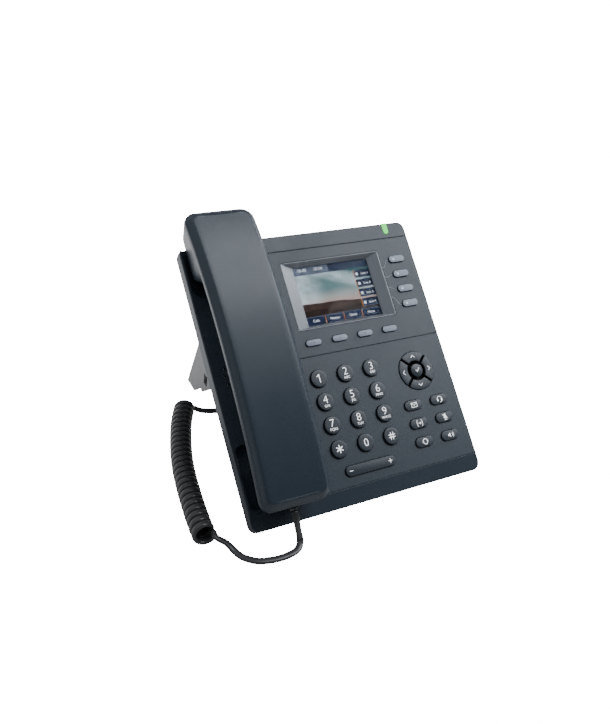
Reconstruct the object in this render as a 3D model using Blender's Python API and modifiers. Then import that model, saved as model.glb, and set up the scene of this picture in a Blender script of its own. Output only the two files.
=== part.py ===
"""Desk IP phone with a colour screen, a corded handset and a clip-on stand.

Units are metres. The desk is the plane z = 0, +Y points away from the user and +X to the user's right.
The origin is the middle of the front rubber strip's underside. Most pieces are placed in the face frame:
u runs right from the body's left edge, v runs up the sloping face from its lower edge and h stands
straight out of the face, with h = 0 on the face itself.
"""
import math

import bmesh
import bpy
from mathutils import Matrix, Vector

# ---- driving dimensions --------------------------------------------------------------------------------
fit = 0.0003                    # gap kept between two pieces that touch
key_gap = 0.0003                # gap round a key in its opening
face_tilt = math.radians(40.0)  # slope of the face above the desk

body_width = 0.174
body_height = 0.1883
rim_depth = 0.0089
shell_wall = 0.0024
corner_radius = 0.0055
edge_round = 0.0008

lip_line = 0.0117               # height of the lower lip's groove above the lower edge
lip_drop = 0.0015
groove_width = 0.0005
groove_depth = 0.0005
top_bar = 0.0116                # width of the top bar above the upper groove
mid_groove = 0.1009
panel_left = 0.0505             # left edge of the key panel, beside the handset channel

cover_inset = 0.003
cover_flange = 0.002
tub_inset = 0.009
tub_back = 0.031                # depth of the rear cover's back face below the face
cover_wall = 0.0024
tub_low = 0.0045
tub_top_margin = 0.009
tub_slope = 0.006               # size of the slope at the tub's upper end

strip_length = 0.150
strip_width = 0.010
strip_height = 0.0010
front_foot_reach = 0.016        # front strip's distance behind the face's lower edge

screen_outer = (0.0776, 0.0486)
screen_centre = (0.1061, 0.1437)
window_size = (0.0592, 0.0428)
window_shift = (0.0006, -0.0002)
screen_depth = 0.0035
bezel_depth = 0.0040
lens_thickness = 0.0008
lcd_thickness = 0.0025
module_margin = 0.0020          # how far lens and display reach behind the bezel

key_travel = 0.0010
key_floor = 0.0040              # depth of a key's root below the face
flange_height = 0.0012
flange_reach = 0.0007
key_soft = 0.0004

dial_diameter = 0.0117
dial_first = (0.0711, 0.0853)   # centre of the key with the digit one
dial_pitch = (0.0202, 0.0161)
dial_proud = 0.0017

soft_size = (0.0116, 0.0042)
soft_first = (0.0751, 0.1099)
soft_pitch = 0.0201
line_size = (0.0127, 0.0049)
line_from_right = 0.0155
line_first = 0.1599
line_pitch = 0.01133
small_key_proud = 0.0012

function_size = (0.0140, 0.0068)
function_from_right = (0.0386, 0.0172)
function_first = 0.0537
function_pitch = 0.0130

rocker_size = (0.0380, 0.0068)
rocker_centre = (0.0901, 0.0214)
rocker_swing_gap = 0.0005

nav_from_right = 0.0276
nav_height = 0.0769
nav_outer = 0.0137
nav_inner = 0.0066
nav_split = 0.0009              # gap between neighbouring arrow keys
nav_proud = 0.0008
ok_radius = 0.0052
ok_proud = 0.0014

mat_thickness = 0.0027
board_thickness = 0.0016
board_left = 0.054
board_margin = 0.012            # board's distance from the right side and the lower edge

led_width = 0.0040
led_from_right = 0.0165
led_length = 0.0083
led_depth = 0.0050

handset_left = 0.001
handset_width = 0.0470
handset_low = 0.0092
handset_length = 0.1928
handset_corner = 0.0080
handset_end_height = 0.0200     # height of the parting line at both ends
handset_arch = 0.0098           # how much higher the parting line is at the crown
handset_crown = 0.118
handset_lip = 0.0014
handset_rise = 0.0034
handset_chamfer = 0.0060
handset_wall = 0.0018
handset_shoulder = 0.0030       # height of the bottom shell's upright edge
grip_depth = 0.0150
grip_undercut = 0.0070
block_undercut = 0.0030
mouth_floor = -0.0025           # underside of the mouthpiece block
ear_floor = -0.0040             # underside of the earpiece block
mouth_block = 0.0420            # length of the mouthpiece block, slope included
ear_block = 0.0470              # length of the earpiece block, slope included
block_blend = 0.0130            # length of the slope between a block and the grip
toe_size = (0.0090, 0.0090)     # length and height of the upturn at the lower end
heel_size = (0.0085, 0.0160)    # the same at the upper end

cup_side = 0.0030               # room beside a block in its recess
ear_recess = 0.0065
mouth_recess = 0.0040
recess_corner = 0.0080

hook_size = (0.0150, 0.0040)
hook_place = 0.0140             # hook switch's distance above the ear recess's lower edge
hook_sink = 0.0015              # how far its paddle reaches below the recess floor
hook_post_size = (0.0060, 0.0026)
hook_post_span = (-0.0200, -0.0070)
hook_travel = 0.0040
handset_lift = 0.0600

grille_hole = 0.0009
grille_pitch = 0.00257
grille_rings = 6
grille_centre = (0.0240, 0.0990)

stand_left = 0.020
stand_plate = 0.003
stand_root = (0.101, 0.152)     # where the stand's side plates meet the rear cover, up the face
stand_heel = 0.153              # rear edge of the foot, behind the origin
stand_toe = 0.1387
stand_notch = (0.1287, 0.0119)
stand_spur = (0.1234, 0.0110)
stand_web = 0.003
stand_slot = ((0.1180, 0.0255), (0.0060, 0.0085))
hook_stem = 0.004
hook_lip = 0.003
hook_places = (0.110, 0.139)
stand_travel = 0.0075

socket_places = (0.078, 0.100)  # network sockets, from the left edge
socket_size = (0.0160, 0.0130, 0.0170)
socket_mouth = (0.0118, 0.0070, 0.0120)
power_place = 0.118
power_size = (0.0095, 0.0110, 0.0130)
power_bore = 0.0028
pocket_left = 0.066
pocket_right = 0.126
pocket_low = 0.052
pocket_high = 0.088
pocket_depth = 0.0150

plug_size = (0.0076, 0.0062)
plug_length = 0.0105
plug_boot = 0.0015
cord_socket_wall = 0.0014
cord_socket_place = (0.034, 0.100)
exit_height = 0.0123            # height of the handset's cord plug above the face

cord_diameter = 0.0040
coil_diameter = 0.0150

# ---- derived sizes ---------------------------------------------------------------------------------------
face_low_y = -front_foot_reach
face_low_z = strip_height + fit + rim_depth * math.cos(face_tilt)
sole_z = strip_height + fit
handset_high = handset_low + handset_length
handset_mid = handset_left + handset_width / 2
lens_top = -bezel_depth - fit
lens_low = lens_top - lens_thickness
lcd_top = lens_low - fit
lcd_low = lcd_top - lcd_thickness
board_top = lcd_low - fit
board_low = board_top - board_thickness
mat_low = board_top + fit
mat_top = mat_low + mat_thickness
flange_top = -key_floor + flange_height
cover_top = -rim_depth - fit
tub_floor = -tub_back + cover_wall


# ---- collections, materials and helpers ------------------------------------------------------------------
for old in list(bpy.data.objects):
    bpy.data.objects.remove(old, do_unlink=True)

phone = bpy.data.collections.new("desk_ip_phone")
cutters = bpy.data.collections.new("cutters")
for group in (phone, cutters):
    bpy.context.scene.collection.children.link(group)

face_frame = bpy.data.objects.new("face_frame", None)
face_frame.location = (-body_width / 2, face_low_y, face_low_z)
face_frame.rotation_euler = (face_tilt, 0, 0)
phone.objects.link(face_frame)


def finish(name, colour, roughness, metallic=0.0):
    """A Principled material with one colour."""
    material = bpy.data.materials.new(name)
    material.use_nodes = True
    shader = material.node_tree.nodes["Principled BSDF"]
    shader.inputs["Base Color"].default_value = (*colour, 1.0)
    shader.inputs["Roughness"].default_value = roughness
    shader.inputs["Metallic"].default_value = metallic
    return material


slate_plastic = finish("slate_plastic", (0.055, 0.068, 0.090), 0.45)
dark_plastic = finish("dark_plastic", (0.020, 0.023, 0.028), 0.50)
handset_plastic = finish("handset_plastic", (0.050, 0.066, 0.090), 0.40)
bezel_plastic = finish("bezel_plastic", (0.250, 0.270, 0.300), 0.30)
grey_key = finish("grey_key", (0.200, 0.230, 0.290), 0.40)
dark_key = finish("dark_key", (0.040, 0.048, 0.062), 0.40)
stand_plastic = finish("stand_plastic", (0.240, 0.245, 0.255), 0.55)
rubber = finish("rubber", (0.020, 0.020, 0.020), 0.85)
silicone = finish("silicone", (0.130, 0.140, 0.150), 0.70)
board_green = finish("board_green", (0.020, 0.120, 0.060), 0.50)
clear_lens = finish("clear_lens", (0.050, 0.060, 0.070), 0.08)
display = finish("display", (0.120, 0.220, 0.280), 0.25)
led_green = finish("led_green", (0.050, 0.750, 0.080), 0.25)
steel = finish("steel", (0.550, 0.550, 0.560), 0.30, 1.0)
clear_plug = finish("clear_plug", (0.420, 0.440, 0.460), 0.20)
cord_black = finish("cord_black", (0.018, 0.018, 0.019), 0.40)


def place(name, mesh, material=None, parent=face_frame, at=(0, 0, 0), turn=(0, 0, 0)):
    """Put a mesh in the phone's collection, or among the cutters when it has no material."""
    mesh.name = name
    thing = bpy.data.objects.new(name, mesh)
    thing.parent = parent
    thing.location = at
    thing.rotation_euler = turn
    if material:
        mesh.materials.clear()
        mesh.materials.append(material)
        phone.objects.link(thing)
    else:
        cutters.objects.link(thing)
        thing.hide_render = True
        thing.display_type = "WIRE"
    mesh.shade_smooth()
    mesh.set_sharp_from_angle(angle=math.radians(35))
    return thing


def outline_mesh(outline, thickness, soft=0.0, soft_steps=2):
    """A flat outline given a thickness, centred on its own plane, with its upper rim rounded by soft."""
    curve = bpy.data.curves.new("outline", "CURVE")
    curve.dimensions = "2D"
    curve.fill_mode = "BOTH"
    curve.extrude = thickness / 2
    spline = curve.splines.new("POLY")
    spline.points.add(len(outline) - 1)
    for point, (x, y) in zip(spline.points, outline):
        point.co = (x, y, 0, 1)
    spline.use_cyclic_u = True
    mesh = mesh_of_curve(curve)
    if soft:
        shape = bmesh.new()
        shape.from_mesh(mesh)
        rim = [edge for edge in shape.edges if all(v.co.z > thickness / 2 - 1e-6 for v in edge.verts)]
        bmesh.ops.bevel(shape, geom=rim, offset=soft, segments=soft_steps, profile=0.5, affect="EDGES")
        shape.to_mesh(mesh)
        shape.free()
    return mesh


def mesh_of_curve(curve):
    """The closed mesh of a curve, with its caps welded on and its flat faces whole."""
    guide = bpy.data.objects.new("guide", curve)
    bpy.context.scene.collection.objects.link(guide)
    bpy.context.view_layer.update()
    mesh = bpy.data.meshes.new_from_object(guide.evaluated_get(bpy.context.evaluated_depsgraph_get()))
    bpy.data.objects.remove(guide, do_unlink=True)
    shape = bmesh.new()
    shape.from_mesh(mesh)
    bmesh.ops.remove_doubles(shape, verts=shape.verts, dist=1e-6)
    bmesh.ops.dissolve_limit(shape, angle_limit=math.radians(0.5), verts=shape.verts, edges=shape.edges)
    bmesh.ops.recalc_face_normals(shape, faces=shape.faces)
    shape.to_mesh(mesh)
    shape.free()
    return mesh


def plate(name, outline, low, high, material=None, at=(0, 0), soft=0.0, soft_steps=2, parent=face_frame):
    """An outline in the face's plane, standing from height low to height high."""
    mesh = outline_mesh(outline, high - low, soft, soft_steps)
    return place(name, mesh, material, parent, (at[0], at[1], (low + high) / 2))


def block(name, low, high, material=None, parent=face_frame):
    """A rectangular block between two corners."""
    shape = bmesh.new()
    bmesh.ops.create_cube(shape, size=1.0)
    size = Vector(high) - Vector(low)
    bmesh.ops.scale(shape, vec=size, verts=shape.verts)
    mesh = bpy.data.meshes.new(name)
    shape.to_mesh(mesh)
    shape.free()
    return place(name, mesh, material, parent, (Vector(low) + Vector(high)) / 2)


def cylinder(name, radius, low, high, at, material=None, sides=20, parent=face_frame):
    """A round bar that stands along h."""
    shape = bmesh.new()
    bmesh.ops.create_cone(shape, cap_ends=True, segments=sides, radius1=radius, radius2=radius, depth=high - low)
    mesh = bpy.data.meshes.new(name)
    shape.to_mesh(mesh)
    shape.free()
    return place(name, mesh, material, parent, (at[0], at[1], (low + high) / 2))


def turned(name, profile, at, material, sides=20):
    """A round piece about h: the profile lists (radius, height) from its top centre to its bottom centre."""
    mesh = bpy.data.meshes.new(name)
    points = [(radius, 0, height) for radius, height in profile]
    mesh.from_pydata(points, [(i, i + 1) for i in range(len(points) - 1)], [])
    thing = place(name, mesh, material, face_frame, (at[0], at[1], 0))
    screw = thing.modifiers.new("turn", "SCREW")
    screw.axis = "Z"
    screw.steps = sides
    screw.render_steps = sides
    screw.use_merge_vertices = True
    screw.merge_threshold = 1e-5
    screw.use_smooth_shade = True
    return thing


def boolean(thing, other, operation="DIFFERENCE"):
    """Cut a piece with one cutter, or join one on."""
    modifier = thing.modifiers.new(other.name, "BOOLEAN")
    modifier.operation = operation
    modifier.solver = "EXACT"
    modifier.object = other


def joined(name, things):
    """One cutter made of several that stay clear of each other."""
    whole = bmesh.new()
    for thing in things:
        start = len(whole.verts)
        whole.from_mesh(thing.data)
        whole.verts.ensure_lookup_table()
        move = Matrix.LocRotScale(thing.location, thing.rotation_euler, None)
        bmesh.ops.transform(whole, matrix=move, verts=whole.verts[start:])
        bpy.data.objects.remove(thing, do_unlink=True)
    mesh = bpy.data.meshes.new(name)
    whole.to_mesh(mesh)
    whole.free()
    return place(name, mesh)


def arc(radius, start, stop, steps, centre=(0.0, 0.0)):
    """Points along an arc, angles in degrees, both ends included."""
    points = []
    for step in range(steps + 1):
        angle = math.radians(start + (stop - start) * step / steps)
        points.append((centre[0] + radius * math.cos(angle), centre[1] + radius * math.sin(angle)))
    return points


def stadium(width, height, steps=8):
    """A bar with round ends."""
    radius = height / 2
    reach = width / 2 - radius
    return arc(radius, -90, 90, steps, (reach, 0)) + arc(radius, 90, 270, steps, (-reach, 0))


def rounded(width, height, radius, steps=4):
    """A rectangle with round corners."""
    x = width / 2 - radius
    y = height / 2 - radius
    corners = ((x, y, 0), (-x, y, 90), (-x, -y, 180), (x, -y, 270))
    points = []
    for cx, cy, start in corners:
        points += arc(radius, start, start + 90, steps, (cx, cy))
    return points


def grown(size, more):
    """A width and a height, both larger by twice the margin."""
    return size[0] + 2 * more, size[1] + 2 * more


def to_desk(v, h):
    """World y and z of a place on the face."""
    return (face_low_y + v * math.cos(face_tilt) - h * math.sin(face_tilt),
            face_low_z + v * math.sin(face_tilt) + h * math.cos(face_tilt))


# ---- front shell -----------------------------------------------------------------------------------------
body_centre = (body_width / 2, body_height / 2)
front_shell = plate("front_shell", rounded(body_width, body_height, corner_radius), -rim_depth, 0,
                    slate_plastic, body_centre, edge_round)

recess_high = handset_low + mouth_block + cup_side
ear_low = handset_high - ear_block - cup_side
block_width = handset_width - 2 * block_undercut
right_bay = block("right_bay", (panel_left + shell_wall, shell_wall, -rim_depth - 0.001),
                  (body_width - shell_wall, body_height - shell_wall, -shell_wall))
left_bay = block("left_bay", (shell_wall, recess_high + shell_wall, -rim_depth - 0.001),
                 (panel_left, ear_low - shell_wall, -shell_wall))
boolean(front_shell, joined("bays", [right_bay, left_bay]))

cup_width = block_width + 2 * cup_side - 0.002
recess_low = lip_line + 0.0015
ear_cup = plate("ear_cup", rounded(cup_width, 0.100, recess_corner), -ear_recess, 0.005, None,
                (handset_mid, ear_low + 0.050))
mouth_cup = plate("mouth_cup", rounded(cup_width, recess_high - recess_low, 0.004), -mouth_recess, 0.005, None,
                  (handset_mid, (recess_low + recess_high) / 2))
boolean(front_shell, joined("cups", [ear_cup, mouth_cup]))

# Shallow grooves that divide the panel, and the lip's sloping band.
top_groove = body_height - top_bar
grooves = [block("groove", (panel_left, height - groove_width / 2, -groove_depth),
                 (body_width + 0.001, height + groove_width / 2, 0.001)) for height in (top_groove, mid_groove)]
boolean(front_shell, joined("grooves", grooves))
lip_outline = [(0.001, 0.001), (-lip_line, 0.001), (-lip_line, -groove_depth), (-lip_line + 0.0004, 0.0),
               (0.0, -lip_drop), (0.001, -lip_drop)]
lip_cut = place("lip_cut", outline_mesh([(-x, y) for x, y in lip_outline], body_width + 0.002), None, face_frame,
                (body_width / 2, 0, 0), (math.pi / 2, 0, math.pi / 2))
boolean(front_shell, lip_cut)

# ---- openings and the pieces that sit in them -------------------------------------------------------------
openings = []


def opening(outline, at):
    """An opening through the face."""
    openings.append(plate("opening", outline, -shell_wall - 0.001, 0.004, None, at))


def circle(radius, sides=20):
    """A round outline."""
    return arc(radius, 0, 360 - 360 / sides, sides - 1)


def round_key(name, radius, proud, at, material, crown=0.0):
    """A round key: cap, flange under the face and rounded rim."""
    soft = key_soft
    profile = [(0, proud + crown), (radius * 0.55, proud + crown * 0.7), (radius - soft, proud),
               (radius, proud - soft), (radius, flange_top), (radius + flange_reach, flange_top),
               (radius + flange_reach, -key_floor), (0, -key_floor)]
    if not crown:
        profile.pop(1)
    return turned(name, profile, at, material)


def bar_key(name, size, proud, at, material, drop=0.0):
    """A key with round ends and a flange under the face."""
    key = plate(name, stadium(*size, 6), flange_top - drop - 0.0004, proud, material, at, key_soft, 1)
    flange = plate(name + "_flange", stadium(*grown(size, flange_reach), 6), -key_floor - drop, flange_top - drop,
                   None, at)
    boolean(key, flange, "UNION")
    return key


digits = ("1", "2", "3", "4", "5", "6", "7", "8", "9", "star", "0", "hash")
for index, digit in enumerate(digits):
    at = (dial_first[0] + dial_pitch[0] * (index % 3), dial_first[1] - dial_pitch[1] * (index // 3))
    round_key("dial_key_" + digit, dial_diameter / 2, dial_proud, at, dark_key)
    opening(circle(dial_diameter / 2 + key_gap), at)

for index in range(4):
    at = (soft_first[0] + soft_pitch * index, soft_first[1])
    bar_key(f"soft_key_{index + 1}", soft_size, small_key_proud, at, grey_key)
    opening(stadium(*grown(soft_size, key_gap), 6), at)

for index in range(4):
    at = (body_width - line_from_right, line_first - line_pitch * index)
    bar_key(f"line_key_{index + 1}", line_size, small_key_proud, at, grey_key)
    opening(stadium(*grown(line_size, key_gap), 6), at)

function_names = (("message", "headset"), ("transfer", "mute"), ("redial", "speaker"))
for row, names in enumerate(function_names):
    for from_right, use in zip(function_from_right, names):
        at = (body_width - from_right, function_first - function_pitch * row)
        bar_key(f"{use}_key", function_size, small_key_proud, at, dark_key)
        opening(stadium(*grown(function_size, key_gap), 6), at)

volume_rocker = bar_key("volume_rocker", rocker_size, small_key_proud, rocker_centre, dark_key, rocker_swing_gap)
opening(stadium(*grown(rocker_size, key_gap), 6), rocker_centre)

nav_centre = (body_width - nav_from_right, nav_height)


def sector(inner, outer, facing, split):
    """A quarter of a ring that faces one way, with parallel gaps to its neighbours."""
    outer_half = 45 - math.degrees(math.asin(split / 2 / outer))
    inner_half = 45 - math.degrees(math.asin(split / 2 / inner))
    return (arc(outer, facing - outer_half, facing + outer_half, 6)
            + arc(inner, facing + inner_half, facing - inner_half, 3))


for use, facing in (("nav_right", 0), ("nav_up", 90), ("nav_left", 180), ("nav_down", 270)):
    key = plate(use + "_key", sector(nav_inner, nav_outer, facing, nav_split), flange_top - 0.0004, nav_proud,
                dark_key, nav_centre, 0.0003)
    flange = plate(use + "_flange", sector(nav_inner, nav_outer + flange_reach, facing, nav_split), -key_floor,
                   flange_top, None, nav_centre)
    boolean(key, flange, "UNION")
opening(circle(nav_outer + key_gap, 28), nav_centre)
round_key("ok_key", ok_radius, ok_proud, nav_centre, dark_key, 0.0006)

# Sound holes over the loudspeaker, in rings.
holes = [(0.0, 0.0)]
for ring in range(1, grille_rings + 1):
    holes += circle(grille_pitch * ring, 3 * ring)
for x, y in holes:
    opening(circle(grille_hole, 8), (grille_centre[0] + x, grille_centre[1] + y))

boolean(front_shell, joined("face_openings", openings))

# ---- screen ----------------------------------------------------------------------------------------------
window_centre = (screen_centre[0] + window_shift[0], screen_centre[1] + window_shift[1])
screen_bezel = plate("screen_bezel", rounded(*screen_outer, 0.0015, 2), -bezel_depth, 0, bezel_plastic,
                     screen_centre)
screen_gap = plate("screen_opening", rounded(*grown(screen_outer, fit), 0.0015 + fit, 2), -shell_wall - 0.001,
                   0.004, None, screen_centre)
boolean(front_shell, screen_gap)


def funnel(name, low_size, low_centre, high_size, high_centre, low, high):
    """A four-sided hole whose walls slope from one rectangle to another."""
    shape = bmesh.new()
    bmesh.ops.create_cube(shape, size=1.0)
    for vert in shape.verts:
        size, centre, height = (low_size, low_centre, low) if vert.co.z < 0 else (high_size, high_centre, high)
        vert.co = (centre[0] + size[0] * vert.co.x, centre[1] + size[1] * vert.co.y, height)
    mesh = bpy.data.meshes.new(name)
    shape.to_mesh(mesh)
    shape.free()
    return place(name, mesh)


bezel_edge = 0.0004
slope = funnel("screen_slope", window_size, window_centre, grown(screen_outer, -bezel_edge), screen_centre,
               -screen_depth, 0.0001)
boolean(screen_bezel, slope)
through = block("screen_window", (window_centre[0] - window_size[0] / 2, window_centre[1] - window_size[1] / 2,
                                  -bezel_depth - 0.001),
                (window_centre[0] + window_size[0] / 2, window_centre[1] + window_size[1] / 2, -0.001))
boolean(screen_bezel, through)
plate("screen_lens", rounded(*grown(window_size, module_margin), 0.001, 2), lens_low, lens_top, clear_lens,
      window_centre)
plate("lcd_panel", rounded(*grown(window_size, module_margin), 0.001, 2), lcd_low, lcd_top, display,
      window_centre)

# ---- inside the body -------------------------------------------------------------------------------------
mat_left = board_left + 0.008
mat_right = body_width - 0.006
mat_step = screen_centre[0] + screen_outer[0] / 2 + 0.003
mat_mid = screen_centre[1] - screen_outer[1] / 2 - 0.002
mat_high = line_first + 0.008
mat_lower = rocker_centre[1] - 0.006
mat_outline = [(mat_left, mat_lower), (mat_right, mat_lower), (mat_right, mat_high), (mat_step, mat_high),
               (mat_step, mat_mid), (mat_left, mat_mid)]
plate("keypad_mat", mat_outline, mat_low, mat_top, silicone)
block("main_board", (board_left, board_margin, board_low),
      (body_width - board_margin, body_height - board_margin - 0.006, board_top), board_green)
speaker_radius = grille_pitch * grille_rings + grille_hole + 0.0010
turned("loudspeaker", [(0, -shell_wall - fit), (speaker_radius, -shell_wall - fit), (speaker_radius, -0.0060),
                       (0.0100, -0.0110), (0.0100, -0.0180), (0, -0.0180)], grille_centre, steel)
turned("base_microphone", [(0, -0.0030), (0.0030, -0.0030), (0.0030, -0.0055), (0, -0.0055)],
       (body_width / 2 + 0.020, 0.0070), steel, 12)

# ---- message lamp's light pipe ---------------------------------------------------------------------------
led_left = body_width - led_from_right - led_width / 2
led_low = body_height - led_length


def lamp_outline(margin, top):
    """A strip with a round lower end that runs up to the top edge."""
    radius = led_width / 2 + margin
    centre = (led_left + led_width / 2, led_low + led_width / 2)
    return arc(radius, 180, 360, 8, centre) + [(centre[0] + radius, top), (centre[0] - radius, top)]


plate("led_light_pipe", lamp_outline(0, body_height - 0.0001), -led_depth, 0.0002, led_green)
lamp_slot = plate("lamp_slot", lamp_outline(fit, body_height + 0.002), -led_depth - fit, 0.004)
boolean(front_shell, lamp_slot)

# ---- hook switch -----------------------------------------------------------------------------------------
hook_centre = (handset_mid, ear_low + hook_place)
hook_switch = plate("hook_switch", stadium(*hook_size), -ear_recess - hook_sink, ear_floor - fit, dark_plastic,
                    hook_centre, 0.0006)
post_low, post_high = hook_post_span
hook_post = block("hook_post", (hook_centre[0] - hook_post_size[0] / 2, hook_centre[1] - hook_post_size[1] / 2,
                                post_low),
                  (hook_centre[0] + hook_post_size[0] / 2, hook_centre[1] + hook_post_size[1] / 2, post_high))
boolean(hook_switch, hook_post, "UNION")
hook_slot = plate("hook_slot", stadium(*grown(hook_size, key_gap)), -rim_depth - 0.001, 0.004, None, hook_centre)
boolean(front_shell, hook_slot)

# ---- rear cover ------------------------------------------------------------------------------------------
rear_cover = plate("rear_cover", rounded(body_width - 2 * cover_inset, body_height - 2 * cover_inset, 0.004),
                   cover_top - cover_flange, cover_top, dark_plastic, body_centre)


def side_profile(name, points, left, right, material=None, frame=face_frame):
    """An outline of (v, h) points, or world (y, z) points, that reaches from left to right."""
    mesh = outline_mesh(points, right - left)
    return place(name, mesh, material, frame, ((left + right) / 2, 0, 0), (math.pi / 2, 0, math.pi / 2))


def sole_height(v, lift=0.0):
    """Height in the face frame of the horizontal sole under a place on the face."""
    return (sole_z + lift - face_low_z - v * math.sin(face_tilt)) / math.cos(face_tilt)


def sole_place(h, lift=0.0):
    """Place on the face where the horizontal sole reaches height h."""
    return (sole_z + lift - face_low_z - h * math.cos(face_tilt)) / math.sin(face_tilt)


tub_high = body_height - tub_top_margin
tub_points = [(tub_low, cover_top - 0.0005), (tub_low, sole_height(tub_low)), (sole_place(-tub_back), -tub_back),
              (tub_high - tub_slope, -tub_back), (tub_high, -tub_back + tub_slope), (tub_high, cover_top - 0.0005)]
tub = side_profile("tub", tub_points, tub_inset, body_width - tub_inset)
boolean(rear_cover, tub, "UNION")

wall = cover_wall
slope_inset = wall * 0.4        # shift of the slope's inner ends that keeps the wall even
hollow_points = [(tub_low + wall, 0), (tub_low + wall, sole_height(tub_low + wall, wall)),
                 (sole_place(tub_floor, wall), tub_floor), (tub_high - tub_slope - slope_inset, tub_floor),
                 (tub_high - wall, -tub_back + tub_slope + slope_inset), (tub_high - wall, 0)]
hollow = side_profile("hollow", hollow_points, tub_inset + wall, body_width - tub_inset - wall)
pocket_floor = -tub_back + pocket_depth
pocket_shell = block("pocket_shell", (pocket_left - wall, pocket_low - wall, -tub_back - 0.001),
                     (pocket_right + wall, pocket_high + wall, pocket_floor + wall))
boolean(hollow, pocket_shell)
boolean(rear_cover, hollow)
pocket = block("pocket", (pocket_left, pocket_low, -tub_back - 0.001), (pocket_right, pocket_high, pocket_floor))

# Openings in the cover: the pocket, the stand's four slots, the socket mouths and the cord's mouth.
stand_sides = (stand_left, body_width - stand_left - stand_plate)
cover_cuts = [pocket]
for left in stand_sides:
    for low in hook_places:
        cover_cuts.append(block("stand_slot", (left - 0.0004, low - stand_travel - 0.0008, -tub_back - 0.001),
                                (left + stand_plate + 0.0004, low + hook_stem + 0.0004, tub_floor + 0.001)))
boolean(rear_cover, joined("cover_cuts", cover_cuts))

socket_height = -tub_back + 0.0085
power_height = -tub_back + 0.0075
power_mouth = 2 * power_bore + 0.0012
mouth_low = pocket_high - fit
mouth_high = pocket_high + wall + 0.0004
mouth_cuts = []
for place_u, height, size in ((socket_places[0], socket_height, socket_mouth),
                              (socket_places[1], socket_height, socket_mouth),
                              (power_place, power_height, (power_mouth, power_mouth))):
    mouth_cuts.append(block("socket_mouth", (place_u - size[0] / 2, mouth_low, height - size[1] / 2),
                            (place_u + size[0] / 2, mouth_high, height + size[1] / 2)))
plug_gap = grown(plug_size, fit)
cord_u, cord_v = cord_socket_place
mouth_cuts.append(block("cord_mouth", (cord_u - plug_gap[0] / 2, cord_v - plug_gap[1] / 2, -tub_back - 0.001),
                        (cord_u + plug_gap[0] / 2, cord_v + plug_gap[1] / 2, tub_floor + 0.001)))
boolean(rear_cover, joined("mouth_cuts", mouth_cuts))

# ---- sockets ---------------------------------------------------------------------------------------------
socket_low = pocket_high + wall + fit
socket_rise = 0.0010            # how much higher a socket sits than its bore


def socket_body(name, place_u, size, bore_height, material):
    """A socket's body behind the pocket's upper wall."""
    width, height, depth = size
    middle = bore_height + socket_rise
    return block(name, (place_u - width / 2, socket_low, middle - height / 2),
                 (place_u + width / 2, socket_low + depth, middle + height / 2), material)


for name, place_u in zip(("lan_socket", "pc_socket"), socket_places):
    socket = socket_body(name, place_u, socket_size, socket_height, steel)
    bore = block(name + "_bore", (place_u - socket_mouth[0] / 2, socket_low - 0.001,
                                  socket_height - socket_mouth[1] / 2),
                 (place_u + socket_mouth[0] / 2, socket_low + socket_mouth[2], socket_height + socket_mouth[1] / 2))
    boolean(socket, bore)
power_socket = socket_body("power_socket", power_place, power_size, power_height, dark_plastic)
power_hole = cylinder("power_hole", power_bore, -0.010, 0.010, (0, 0), None, 16)
power_hole.rotation_euler = (math.pi / 2, 0, 0)
power_hole.location = (power_place, socket_low, power_height)
boolean(power_socket, power_hole)


def plug_socket(name, mouth, turn):
    """A small socket behind a wall, with a blind square hole, and the plug in it; the plug leaves along -Z."""
    wall_reach = cover_wall + fit
    outer = grown(plug_size, fit + cord_socket_wall)
    base = bpy.data.objects.new(name + "_place", None)
    base.parent = face_frame
    base.location = mouth
    base.rotation_euler = turn
    phone.objects.link(base)
    body = block(name + "_socket", (-outer[0] / 2, -outer[1] / 2, wall_reach),
                 (outer[0] / 2, outer[1] / 2, plug_length + fit + cord_socket_wall), dark_plastic, base)
    hole = block(name + "_hole", (-plug_gap[0] / 2, -plug_gap[1] / 2, wall_reach - 0.001),
                 (plug_gap[0] / 2, plug_gap[1] / 2, plug_length + fit), None, base)
    boolean(body, hole)
    plug = block(name + "_plug", (-plug_size[0] / 2, -plug_size[1] / 2, 0),
                 (plug_size[0] / 2, plug_size[1] / 2, plug_length), clear_plug, base)
    boot = cylinder(name + "_boot", cord_diameter / 2 + 0.0004, -plug_boot, 0.0010, (0, 0), None, 12, base)
    boolean(plug, boot, "UNION")


plug_socket("cord", (cord_u, cord_v, -tub_back), (0, 0, 0))

# ---- handset ---------------------------------------------------------------------------------------------


def smooth(x):
    """A soft step from 0 to 1."""
    x = min(1.0, max(0.0, x))
    return x * x * (3 - 2 * x)


def parting(v):
    """Height of the handset's parting line: an arch with its crown nearer the upper end's side."""
    reach = handset_crown - handset_low if v < handset_crown else handset_high - handset_crown
    return handset_end_height + handset_arch * (1 - ((v - handset_crown) / reach) ** 2)


def half_width(v, shrink=0.0):
    """Half the handset's width, with its round corners in plan."""
    radius = handset_corner - shrink
    end = min(v - handset_low, handset_high - v) - shrink
    inner = radius - min(radius, max(0.0, end))
    return handset_width / 2 - handset_corner + math.sqrt(radius ** 2 - inner ** 2)


def underside(v):
    """Height of the handset's underside: a block at each end and a raised grip between them."""
    from_low = v - handset_low
    from_high = handset_high - v
    grip = parting(v) - grip_depth
    mouth = smooth((mouth_block - from_low) / block_blend)
    ear = smooth((ear_block - from_high) / block_blend)
    height = grip + (mouth_floor - grip) * mouth + (ear_floor - grip) * ear
    toe = toe_size[1] * (1 - smooth(from_low / toe_size[0]))
    heel = heel_size[1] * (1 - smooth(from_high / heel_size[0]))
    return height + toe + heel


def undercut(v):
    """How far the underside's edge lies inside the parting line."""
    from_low = v - handset_low
    from_high = handset_high - v
    block = max(smooth((mouth_block - from_low) / block_blend), smooth((ear_block - from_high) / block_blend))
    return grip_undercut + (block_undercut - grip_undercut) * block


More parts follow.
